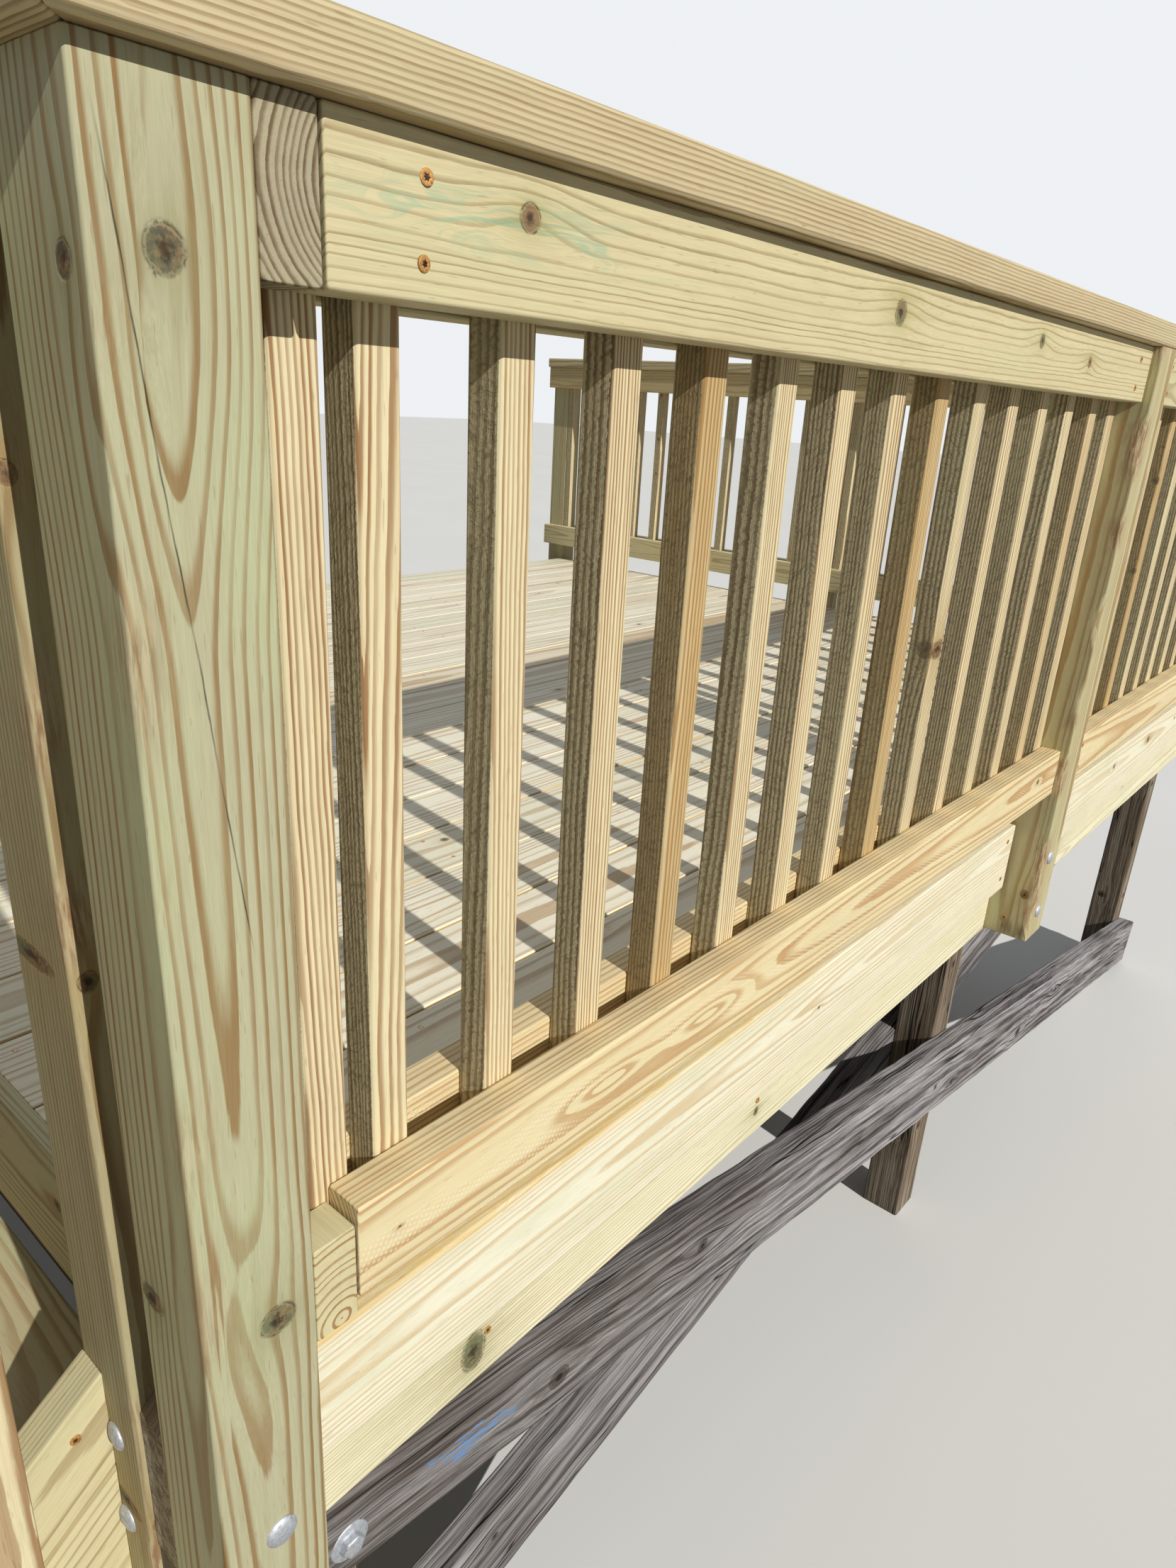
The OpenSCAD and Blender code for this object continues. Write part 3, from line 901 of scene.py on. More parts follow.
class Finish(Enum):
    """Named finishes; each makes its material once."""

    RAIL = Pine("pine_rail", early=(0.71, 0.63, 0.38), late=(0.37, 0.28, 0.14),
                blush=(0.64, 0.53, 0.30), contrast=0.8, ring=0.0048, late_from=0.64,
                late_to=0.88, knot=(0.30, 0.165, 0.09), halo=(0.38, 0.33, 0.12), push=0.0065)
    LOWER = Pine("pine_lower_rail", early=(0.82, 0.71, 0.43), late=(0.56, 0.345, 0.15),
                 blush=(0.76, 0.54, 0.31), ring=0.0044, contrast=0.95, hatch=0.55, green=0.1,
                 wavy=0.45)
    CORNER = Pine("pine_corner", early=(0.51, 0.495, 0.32), late=(0.29, 0.172, 0.066),
                  blush=(0.46, 0.42, 0.25), ring=0.0068, late_from=0.50, contrast=1.0,
                  green=0.7, slant=-0.11, wavy=0.7, knot=(0.085, 0.075, 0.055),
                  halo=(0.30, 0.27, 0.13), core=0.012, drift=0.4, kink=(0.84, 1.02, 0.013))
    POST = Pine("pine_post", early=(0.60, 0.55, 0.33), late=(0.37, 0.235, 0.095),
                blush=(0.54, 0.46, 0.26), ring=0.0058, late_from=0.48, contrast=0.9, green=0.6)
    BALUSTER = Pine("pine_baluster", early=(0.84, 0.74, 0.475), late=(0.36, 0.20, 0.09),
                    blush=(0.71, 0.55, 0.31), ring=0.0038, late_from=0.30, late_to=0.74,
                    contrast=1.0, green=0.25)
    DECK = Pine("pine_deck", early=(0.97, 0.93, 0.76), late=(0.60, 0.45, 0.28),
                blush=(0.90, 0.78, 0.58), green=0.15, ring=0.0085, late_from=0.50, contrast=0.9)
    FASCIA = Pine("pine_fascia", early=(0.90, 0.87, 0.64), late=(0.62, 0.47, 0.25),
                  blush=(0.85, 0.76, 0.50), ring=0.0044, contrast=0.8, green=0.35,
                  knot=(0.11, 0.10, 0.06), halo=(0.40, 0.34, 0.17))
    EDGING = Pine("pine_edging", early=(0.90, 0.87, 0.69), late=(0.66, 0.48, 0.25),
                  blush=(0.85, 0.75, 0.52), ring=0.0052, contrast=0.75, hatch=0.2, green=0.35,
                  wavy=0.45)
    CAP = Pine("pine_cap", early=(0.66, 0.55, 0.34), late=(0.34, 0.235, 0.11),
               blush=(0.60, 0.48, 0.28), ring=0.0038, late_from=0.38, contrast=0.95)
    BLOCK = Pine("pine_block", early=(0.44, 0.39, 0.26), late=(0.16, 0.105, 0.055),
                 blush=(0.38, 0.32, 0.20), ring=0.0048, late_from=0.36, contrast=1.0, green=0.1)
    LOW_BLOCK = Pine("pine_low_block", early=(0.70, 0.63, 0.38), late=(0.36, 0.22, 0.085),
                     blush=(0.62, 0.50, 0.27), ring=0.0088, late_from=0.62, contrast=1.0,
                     green=0.2, wavy=0.6)
    # Darker than POST: partly painted shade, partly the newel's own browner wood.
    NEWEL = Pine("pine_newel_painted_shade", early=(0.47, 0.41, 0.24), late=(0.27, 0.18, 0.08),
                 blush=(0.41, 0.33, 0.17), ring=0.0058, late_from=0.48, contrast=0.9, green=0.4)
    STAIR = Pine("pine_stair", early=(0.58, 0.52, 0.32), late=(0.36, 0.25, 0.12),
                 contrast=0.95, green=0.6)
    OLD = OldTimber("old_grey")
    RIM = OldTimber("old_rim", ridge=(0.62, 0.55, 0.43), furrow=(0.18, 0.14, 0.10),
                    brown=(0.32, 0.23, 0.14))
    BRACE = OldTimber("old_brace", ridge=(0.50, 0.475, 0.48), furrow=(0.036, 0.030, 0.032),
                      brown=(0.17, 0.14, 0.12), stain=0.3, end_darkening=0.75)
    ZINC = Zinc("zinc_bolt")
    SCREW = Screw("screw_coat")
    # Near-black painted shade in the screw heads' star recesses.
    RECESS = Screw("screw_recess_painted_shade", tone=(0.035, 0.018, 0.010))

    def material(self) -> bpy.types.Material:
        """The finish's material, made at first use."""
        made = bpy.data.materials.get(self.value.name)
        return made or self.value.material()


# ---------------- boards


def ripple(s: np.ndarray, seed: int, pitch: float, size: float) -> np.ndarray:
    """Smooth random wave along s.

    Args:
        s: places along the board.
        seed: seed of the wave.
        pitch: about the distance between humps, in the unit of s.
        size: largest size of the wave.

    Returns:
        Sum of four sines of random turn and of lengths around the pitch.
    """
    rng = np.random.default_rng(seed)
    total = np.zeros_like(s, float)
    for k in range(4):
        long = pitch * (0.6 + 0.5 * k)
        total += np.sin(s / long * 2 * math.pi + rng.uniform(0, 6.28)) / (k + 1.3)
    return total / 1.9 * size


def tube(rings: int, around: int) -> tuple[list, list, list]:
    """Faces of a closed tube whose points are numbered ring by ring.

    Args:
        rings: number of rings.
        around: number of points in a ring.

    Returns:
        The walls, the first ring's face and the last ring's face, all looking outwards.
    """
    index = np.arange(rings * around).reshape(rings, around)
    ahead = np.roll(index, -1, 1)
    walls = np.stack([index[:-1], ahead[:-1], ahead[1:], index[1:]], 2)
    return walls.reshape(-1, 4).tolist(), index[0][::-1].tolist(), index[-1].tolist()


@dataclass
class Board:
    """One stick of timber, in millimetres, in plan coordinates over the ground.

    A point of it is at + along * s + across * a + up * b, with s from 0 to length, a from 0 to
    width and b from 0 to thick. Cuts lean its ends: the start lies at cut . (a, b). Faces 0 to 3
    look to b = 0, a = width, b = thick and a = 0; corner k starts face k.
    """

    at: Vec
    along: Vec
    across: Vec
    length: float
    width: float
    thick: float
    seed: int
    ease: float = 3.0
    start: Pair = (0.0, 0.0)
    end: Pair = (0.0, 0.0)
    pith: Pair | None = None
    lean: Pair | None = None
    tone: float | None = None
    knots: tuple[Knot, ...] = ()
    few: bool = False
    sawn: tuple[int, ...] = ()
    # Faces that get painted shade, and faces that get painted golden sunlight.
    shady: tuple[int, ...] = ()
    sunny: tuple[int, ...] = ()
    wane: tuple[tuple[int, float], ...] = ()
    eye: Vec = (0.0, 0.0, 0.0)
    eye2: Vec = (0.0, 0.0, 0.0)
    mark: Vec = (0.0, 0.0, 0.0)
    split: Vec = (0.0, 0.0, 0.0)
    bow: float = 0.6
    spacing: float = 70.0
    between: int = 2
    lump: float = 0.0

    def __post_init__(self) -> None:
        """Fills what is left open from the seed: pith, lean, tone and knots."""
        rng = np.random.default_rng(self.seed)
        w, t = self.width, self.thick
        if self.pith is None:
            side = 1 if rng.uniform() < 0.5 else -1
            off = rng.uniform(-0.25, 0.25) * w
            self.pith = (off, side * (t / 2 + rng.uniform(0.1, 0.9) * max(w, 60.0)))
        if self.lean is None:
            self.lean = tuple(rng.uniform(-0.012, 0.012, 2))
        if self.tone is None:
            self.tone = float(np.clip(rng.normal(0.0, 0.35), -1, 1))
        marks = list(self.knots)
        if not marks and not self.few:
            reach = min(self.length, KNOTS.wrap * METRE)
            for _ in range(rng.integers(1, 4)):
                a = rng.uniform(0.15, 0.85) * w
                b = t if self.pith[1] < 0 else 0.0
                marks.append((rng.uniform(0.02, 0.98) * reach, a, b, rng.uniform(2.5, 9.0)))
        self.marks = marks[: KNOTS.count]

    def from_pith(self, s: object, a: object, b: object) -> tuple:
        """Place across the log, measured from the pith, of the point or points at s, a and b."""
        y = a - self.width / 2 - self.pith[0] - self.lean[0] * s
        z = b - self.thick / 2 - self.pith[1] - self.lean[1] * s
        return y, z

    def knot_values(self) -> np.ndarray:
        """Place along the log, angle around the pith and radius of each knot, in metres."""
        rows = np.tile(np.array([0.0, 0.0, 1e-5]), (KNOTS.count, 1))
        for i, (s, a, b, radius) in enumerate(self.marks):
            y, z = self.from_pith(s, a, b)
            rows[i] = (s / METRE, math.atan2(z, y), radius / METRE)
        return rows

    def in_log(self, s: float, a: float, last: float) -> np.ndarray:
        """Place of a mark turned into the log's metres, with a last value kept as it is."""
        return np.array([s / METRE, self.from_pith(s, a, 0.0)[0] / METRE, last])

    def section(self, radii: np.ndarray) -> tuple[np.ndarray, np.ndarray, np.ndarray]:
        """Cross-section with rounded corners for each ring.

        Corner arcs are circle quarters of the given radius, joined by straight runs with a few
        points between.

        Args:
            radii: corner radii, one row of four a ring.

        Returns:
            Points (ring, place, 2) and, for each place, its face or -1 and its corner or -1.
        """
        w, t = self.width, self.thick
        turns = 4 if self.ease > 1.5 or self.wane else 3
        middles = [(0, 0, 1, 1), (w, 0, -1, 1), (w, t, -1, -1), (0, t, 1, -1)]
        arcs = []
        for k, (ca, cb, da, db) in enumerate(middles):
            angle = math.pi + k * math.pi / 2 + np.linspace(0, math.pi / 2, turns)
            r = radii[:, k : k + 1]
            a = ca + da * r + r * np.cos(angle)[None]
            b = cb + db * r + r * np.sin(angle)[None]
            arcs.append(np.stack([a, b], 2))
        points, face, corner = [], [], []
        for k in range(4):
            points.append(arcs[k])
            face += [(k - 1) % 4] + [-1] * (turns - 2) + [k]
            corner += [k] * turns + [-1] * self.between
            a, b = arcs[k][:, -1:], arcs[(k + 1) % 4][:, :1]
            for j in range(self.between):
                points.append(a + (b - a) * (j + 1) / (self.between + 1))
                face.append(k)
        return np.concatenate(points, 1), np.array(face), np.array(corner)

    def corner_radii(self, places: np.ndarray) -> np.ndarray:
        """Radii of the four corners at each place: eased, lumpy and waned."""
        radii = np.full((len(places), 4), float(self.ease))
        if self.lump:
            for k in range(4):
                radii[:, k] += np.abs(ripple(places, self.seed + k, 160.0, self.lump * 1.2))
        for corner, depth in self.wane:
            wave = ripple(places, self.seed + 40 + corner, 260.0, 1.1)
            radii[:, corner] += depth * np.clip(0.2 + wave, 0, 1.4)
        return np.minimum(radii, min(self.width, self.thick) * 0.45)

    def along_board(self, a: np.ndarray, b: np.ndarray, places: np.ndarray) -> np.ndarray:
        """Place along the board of each point, between its two cuts."""
        start = self.start[0] * a + self.start[1] * b
        end = self.length + self.end[0] * a + self.end[1] * b
        return start + (end - start) * (places / self.length)[:, None]

    def in_part(self, s: np.ndarray, a: np.ndarray, b: np.ndarray,
                places: np.ndarray) -> np.ndarray:
        """Points (ring, place, 3) in metres in the part's frame, with the board's bow and lumps."""
        bend = np.sin(np.clip(s / self.length, 0, 1) * math.pi)
        turn = np.random.default_rng(self.seed + 7).uniform(-1, 1, 2) * self.bow
        lump = 0.0
        if self.lump:
            lump = ripple(places, self.seed + 90, 210.0, self.lump)[:, None]
            lump = lump * np.cos(a / 30.0 + self.seed)
        along, across = np.array(self.along, float), np.array(self.across, float)
        spot = (np.array(self.at, float) + s[..., None] * along
                + (a + turn[0] * bend)[..., None] * across
                + (b + turn[1] * bend + lump)[..., None] * np.cross(along, across))
        return (spot - np.array(PLAN.middle)) / METRE

    def shell(self) -> tuple[np.ndarray, list, dict[str, np.ndarray]]:
        """The stick's closed mesh.

        Returns:
            Points in metres in the part's frame, faces, and the attributes of the points.
        """
        count = max(2, int(round(self.length / self.spacing)))
        lip = min(1.5, self.ease * 0.6)
        inside = np.linspace(lip, self.length - lip, count)
        places = np.concatenate([[0.0], inside, [self.length]])
        radii = self.corner_radii(places)
        points, face, corner = self.section(radii)
        size = np.array([self.width, self.thick])
        for ring in (0, -1):
            points[ring] = size / 2 + (points[ring] - size / 2) * (1 - 2 * lip / size)
        a, b = points[:, :, 0], points[:, :, 1]
        s = self.along_board(a, b, places)
        walls, first, last = tube(*a.shape)
        values = {"grain": np.stack([s, *self.from_pith(s, a, b)], 2) / METRE,
                  "lot": self.lot(a, face), "skin": self.skin(radii, face, corner)}
        values = {key: rows.reshape(-1, 3) for key, rows in values.items()}
        for key, row in self.overall().items():
            values[key] = np.tile(row, (a.size, 1))
        return self.in_part(s, a, b, places).reshape(-1, 3), [*walls, first, last], values

    def lot(self, a: np.ndarray, face: np.ndarray) -> np.ndarray:
        """The board's seed and tone, and each face's painted shade (above 0) and sunlight (below
        0).
        """
        shady = np.isin(face, self.shady).astype(float) - np.isin(face, self.sunny)
        seed = np.full_like(a, (self.seed * GOLDEN) % 1.0)
        return np.stack([seed, np.full_like(a, self.tone), shady[None] * np.ones_like(a)], 2)

    def skin(self, radii: np.ndarray, face: np.ndarray, corner: np.ndarray) -> np.ndarray:
        """How rough from the saw and how waned each point is, and whether it is on face 2."""
        whole = np.ones((len(radii), 1))
        rough = np.isin(face, self.sawn).astype(float)[None] * whole
        worn = np.zeros_like(rough)
        for k, _ in self.wane:
            part = np.clip((radii[:, k : k + 1] - self.ease) / 2.5, 0, 1)
            worn = np.maximum(worn, (corner == k)[None] * part)
        return np.stack([rough, worn, (face == 2)[None] * whole], 2)

    def overall(self) -> dict[str, np.ndarray]:
        """Attributes that are the same on the whole board: eyes, mark, split and knots."""
        split_a, start, end = self.split
        rows = {
            "eye": self.in_log(*self.eye[:2], self.eye[2] / METRE),
            "mark": self.in_log(*self.mark),
            "eye2": self.in_log(*self.eye2[:2], self.eye2[2] / METRE),
            "split": np.array([self.in_log(start, split_a, 0.0)[1], start / METRE, end / METRE]),
        }
        return rows | {f"knot{i + 1}": row for i, row in enumerate(self.knot_values())}


def stick(at: Vec, size: Vec, seed: int, **more: object) -> Board:
    """A board that fills an upright box, its grain along the longest side.

    Args:
        at: lowest corner of the box.
        size: its sides.
        seed: seed of what varies.
        more: other fields of Board.

    Returns:
        The board, its width across the wider of the other two sides.
    """
    axes = [X, Y, Z]
    long, wide, thin = sorted(range(3), key=lambda k: -size[k])
    along = axes[long]
    if (long, wide, thin) not in ((0, 1, 2), (1, 2, 0), (2, 0, 1)):
        at = tuple(at[k] + (size[k] if k == long else 0) for k in range(3))
        along = tuple(-v for v in along)
    return Board(at, along, axes[wide], size[long], size[wide], size[thin], seed, **more)


def front_board(at: Vec, size: Vec, seed: int, **more: object) -> Board:
    """A board along X, s from the left and a from below; its far face looks to the front."""
    return Board((at[0], at[1] + size[1], at[2]), X, Z, size[0], size[2], size[1], seed, **more)


def linked(name: str, data: bpy.types.ID) -> bpy.types.Object:
    """A new object of the scene."""
    made = bpy.data.objects.new(name, data)
    bpy.context.scene.collection.objects.link(made)
    return made


def dressed(name: str, mesh: bpy.types.Mesh) -> bpy.types.Object:
    """A smooth object of a mesh, riding on the deck's one body."""
    mesh.polygons.foreach_set("use_smooth", np.ones(len(mesh.polygons), bool))
    mesh.update()
    made = linked(name, mesh)
    made.modifiers.new("true_faces", "WEIGHTED_NORMAL").keep_sharp = True
    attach(made, "root")
    return made


def piece(name: str, boards: list[Board], finish: Finish, node: str) -> bpy.types.Object:
    """Makes one object of boards that stands for a CAD node.

    Args:
        name: name of the object.
        boards: its boards.
        finish: its finish.
        node: the CAD node that it stands for.

    Returns:
        The object, riding on the deck's one body.
    """
    points, faces, values, base = [], [], {}, 0
    for board in boards:
        spot, polygons, given = board.shell()
        points.append(spot)
        faces += [[v + base for v in polygon] for polygon in polygons]
        base += len(spot)
        for key, rows in given.items():
            values.setdefault(key, []).append(rows)
    mesh = bpy.data.meshes.new(name)
    mesh.from_pydata(np.concatenate(points).tolist(), [], faces)
    for key, rows in values.items():
        layer = mesh.attributes.new(key, "FLOAT_VECTOR", "POINT")
        layer.data.foreach_set("vector", np.concatenate(rows).astype(np.float32).ravel())
    mesh.materials.append(finish.material())
    made = dressed(name, mesh)
    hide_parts(node)
    log.info("%s: %d boards, %d faces", name, len(boards), len(faces))
    return made


def set_heights(made: bpy.types.Object, heights: Callable[[np.ndarray], np.ndarray]) -> None:
    """Gives the points of an object new heights, worked out from their places."""
    spots = np.zeros(len(made.data.vertices) * 3, np.float32)
    made.data.vertices.foreach_get("co", spots)
    spots = spots.reshape(-1, 3)
    spots[:, 2] = heights(spots)
    made.data.vertices.foreach_set("co", spots.ravel())
    made.data.update()


# ---------------- sub-assemblies


@dataclass
class Platform:
    """Deck boards on their joists, rims and blocks."""

    seed: int = 100
    joist_seed: int = 300
    block_seed: int = 330
    rim_seed: int = 350
    post_clear: float = 1
    block_lower: float = 6
    rim_inset: float = 6
    bite_long: float = 1.3

    def notch(self, x0: float, y0: float, y1: float) -> float:
        """Where a board between y0 and y1 starts, clear of the posts at the stair end."""
        p = PLAN
        for y in (0.0, p.newel_y, p.newel2_y):
            if y0 < y + p.post and y1 > y:
                return max(x0, p.post + self.post_clear)
        return x0

    def boards(self) -> None:
        """Deck boards; one that meets a post at the stair end stops just short of it."""
        rng = np.random.default_rng(self.seed)
        made = [self.plank(i, float(rng.normal(-0.15, 0.35))) for i in range(PLAN.board_count)]
        piece("deck_boards", made, Finish.DECK, "decking")

    def plank(self, i: int, tone: float) -> Board:
        """Deck board number i."""
        p = PLAN
        y = p.board_y(i)
        x0 = self.notch(p.deck_x0, y, y + p.board_wide)
        # Painted shade on the rear edge face in the gap, painted golden sunlight on the front edge
        # face.
        return stick((x0, y, p.frame_top), (p.deck_x1 - x0, p.board_wide, p.board_thick),
                     self.seed + i, tone=tone, ease=3.2, spacing=90.0, bow=0.5, shady=(1,),
                     sunny=(3,))

    def joists(self) -> None:
        """Old rough joists and the blocks between them."""
        p, made, blocks = PLAN, [], []
        places = p.joist_places()
        for i, x in enumerate(places):
            y0 = p.front_support + (p.post if i == 0 else 0)
            made.append(stick((x, y0, p.rim_z), (p.old_thick, p.back_rim - y0, p.old_deep),
                              self.joist_seed + i, lump=0.8))
        for i, (left, right) in enumerate(zip(places, places[1:])):
            x = left + p.old_thick
            at = (x, p.mid_y + (i % 2) * p.old_thick, p.rim_z + self.block_lower)
            size = (right - x, p.lumber, p.old_deep - 2 * self.block_lower)
            blocks.append(stick(at, size, self.block_seed + i, lump=0.5))
        piece("old_joists", made, Finish.OLD, "joists")
        piece("old_blocks", blocks, Finish.OLD, "joist_blocks")

    def rims(self) -> None:
        """Old rims along the front and the rear; the front one is torn at the corner post."""
        p = PLAN
        for i, (name, y) in enumerate((("rim_front", p.front_rim), ("rim_back", p.back_rim))):
            size = (p.right_line - self.rim_inset, p.old_thick, p.old_deep)
            board = stick((self.rim_inset, y, p.rim_z), size, self.rim_seed + i, lump=1.0,
                          between=9, spacing=22.0)
            made = piece(f"old_{name}", [board], Finish.RIM, name)
            if name == "rim_front":
                set_heights(made, self.bite)

    def bite(self, spots: np.ndarray) -> np.ndarray:
        """Heights of the rim's points, its upper corner worn down to a slope."""
        p = PLAN
        x = spots[:, 0] * METRE + p.middle[0] - self.rim_inset
        away = np.clip(1 - x / (self.bite_long * p.rim_bite), 0, 1)
        slope = p.frame_top - p.rim_bite * away**1.3
        return np.minimum(spots[:, 2], slope / METRE)

    def build(self) -> None:
        """Builds the platform."""
        self.boards()
        self.joists()
        self.rims()


@dataclass
class Fascias:
    """New boards that hide the old rim."""

    mid_clear: float = 12

    @property
    def upper_z(self) -> float:
        """Lower edge of the upper fascias."""
        return PLAN.deck_top - PLAN.upper_drop - PLAN.board_wide

    @property
    def tall(self) -> float:
        """Height of the lower fascias."""
        return PLAN.frame_top - PLAN.low_bottom

    def front(self) -> None:
        """Upper and lower fascia of the front."""
        p, thick, thin = PLAN, PLAN.board_thick, PLAN.low_thick
        y = p.post_line - thick
        long = p.mid_x - self.mid_clear - p.post
        upper = [
            front_board((p.post, y, self.upper_z), (long, thick, p.board_wide), 401,
                        tone=0.0, mark=(0.0, 137.0, -1.0), knots=((900.0, 70.0, thick, 2.5),),
                        pith=(10.0, -40.0), lean=(0.01, 0.012), spacing=40.0),
            front_board((p.mid_x1, y, self.upper_z), (p.deck_x1 - p.mid_x1, thick, p.board_wide),
                        402),
        ]
        piece("fascia_upper", upper, Finish.EDGING, "fascia_upper_front")
        knots = ((234.0, 46.0, thin, 14.0), (795.0, 41.0, thin, 5.0), (1880.0, 120.0, thin, 5.0))
        low = front_board((p.post, p.deck_y0, p.low_bottom),
                          (p.deck_length - p.post, thin, self.tall), 404, tone=0.0, knots=knots,
                          mark=(330.0, 92.0, 1.0), pith=(-150.0, -40.0), lean=(0.022, 0.002),
                          spacing=40.0)
        piece("fascia_lower", [low], Finish.FASCIA, "fascia_lower_front")

    def rear(self) -> None:
        """Fascia of the rear."""
        p = PLAN
        board = stick((0, p.deck_y1 - p.low_thick, p.low_bottom),
                      (p.deck_length, p.low_thick, self.tall), 405)
        piece("fascia_rear", [board], Finish.FASCIA, "fascia_lower_back")

    def right(self) -> None:
        """Upper and lower fascia of the right side."""
        p = PLAN
        start = p.front_support + p.post
        runs = ((start, p.mid_y - start), (p.mid_y1, p.back_support - p.mid_y1))
        upper = [stick((p.deck_x1, y, self.upper_z), (p.board_thick, long, p.board_wide), 406 + i)
                 for i, (y, long) in enumerate(runs)]
        piece("fascia_right_upper", upper, Finish.RAIL, "fascia_upper_right")
        low = stick((p.deck_x1 - p.low_thick, p.front_support, p.low_bottom),
                    (p.low_thick, p.back_rim - p.front_support, self.tall), 408)
        piece("fascia_right_lower", [low], Finish.FASCIA, "fascia_lower_right")

    def stair_end(self) -> None:
        """Boards under the deck's edge at the stair and beside it."""
        p = PLAN
        made = [stick((p.nose_in, y0, p.deck_top - p.end_tall), (p.end_thick, y1 - y0, p.end_tall),
                      410 + i, ease=1.5, tone=-0.3)
                for i, (y0, y1) in enumerate(((p.stair_y0, p.newel2_y), (p.left_y0, p.back_rim)))]
        piece("stair_end_boards", made, Finish.STAIR, "fascia_stair_end")

    def build(self) -> None:
        """Builds the fascia boards of the front, rear, right and stair end."""
        self.front()
        self.rear()
        self.right()
        self.stair_end()


@dataclass
class Posts:
    """New square posts of the guard and the stair, and the old supports."""

    def upright(self, x: float, y: float, low: float, high: float, seed: int,
                **more: object) -> Board:
        """A square post, its width along X and its thickness along Y."""
        post = PLAN.post
        return Board((x, y, low), Z, X, high - low, post, post, seed, **more)

    def corner(self) -> None:
        """Corner post: two big knots on its front face, dark knots on its left face."""
        p = PLAN
        foot = p.post_foot
        marks = (
            (1899.0 - foot, 38.0, 0.0, 9.5), (1210.0 - foot, 57.0, 0.0, 10.5),
            (1891.0 - foot, 0.0, 22.0, 7.0), (1222.0 - foot, 0.0, 70.0, 9.0),
        )
        board = self.upright(0, 0, foot, p.cap_z, 501, pith=(-5.0, -16.0), lean=(-0.004, -0.022),
                             tone=-0.1, knots=marks, wane=((0, 1.5),), spacing=16.0, bow=0.0,
                             eye=(392.0, 34.0, 10.0), ease=2.2, eye2=(1022.0, 14.0, 5.0),
                             split=(55.0, 700.0, 1065.0))
        piece("corner_post", [board], Finish.CORNER, "post_corner")

    def guard(self) -> None:
        """The other posts of the guard."""
        p = PLAN
        mid = self.upright(p.mid_x, -p.post_proud, p.post_foot, p.cap_z, 502, tone=0.35,
                           spacing=20.0, bow=0.3, wane=((0, 13.0), (1, 8.0)), pith=(30.0, 10.0),
                           knots=((101.0, 0.0, 22.0, 8.0), (640.0, 0.0, 60.0, 5.0)))
        piece("front_mid_post", [mid], Finish.POST, "post_front_mid")
        rest = (("front_right", p.deck_x1, -p.post_proud), ("right_mid", p.deck_x1, p.mid_y),
                ("back_right", p.deck_x1, p.deck_y1), ("back_left", 0.0, p.deck_y1))
        for i, (name, x, y) in enumerate(rest):
            board = self.upright(x, y, p.post_foot, p.cap_z, 510 + i, spacing=40.0, bow=0.3)
            piece(f"guard_post_{name}", [board], Finish.POST, f"post_{name}")

    def newels(self) -> None:
        """Newels at the head and the foot of the stair."""
        p = PLAN
        knots = ((1449.0, 0.0, 64.0, 7.0), (1787.0, 0.0, 20.0, 6.0), (900.0, 0.0, 40.0, 8.0))
        front = self.upright(0, p.newel_y, 0, p.cap_z, 521, wane=((0, 4.0),), spacing=25.0,
                             bow=0.0, tone=0.1, knots=knots)
        piece("newel_at_corner", [front], Finish.NEWEL, "newel_front")
        rear = self.upright(0, p.newel2_y, 0, p.cap_z, 522, spacing=40.0, bow=0.0)
        piece("newel_at_rear", [rear], Finish.POST, "newel_rear")
        high = p.nosing(p.foot_x) + p.hand_up
        for i, (side, y) in enumerate((("front", p.newel_y), ("rear", p.newel2_y))):
            board = self.upright(p.foot_x, y, 0, high, 530 + i, end=(p.rake, 0.0), spacing=40.0,
                                 bow=0.0)
            name = f"foot_newel_{side}"
            piece(f"stair_{name}", [board], Finish.POST, name)

    def supports(self) -> None:
        """Old grey posts that carry the rims."""
        p = PLAN
        places = (("left", p.support_in), ("mid", p.support_mid), ("right", p.deck_x1))
        knots = ((260.0, 0.0, 60.0, 9.0), (700.0, 40.0, 0.0, 8.0))
        for j, (side, y) in enumerate((("front", p.front_support), ("back", p.back_support))):
            for i, (name, x) in enumerate(places):
                board = self.upright(x, y, 0, p.frame_top, 540 + 5 * j + i, lump=1.2,
                                     spacing=30.0, bow=0.0, knots=knots, tone=0.3)
                piece(f"old_post_{side}_{name}", [board], Finish.OLD,
                      f"support_{side}_{name}")

    def build(self) -> None:
        """Builds all the posts."""
        self.corner()
        self.guard()
        self.newels()
        self.supports()


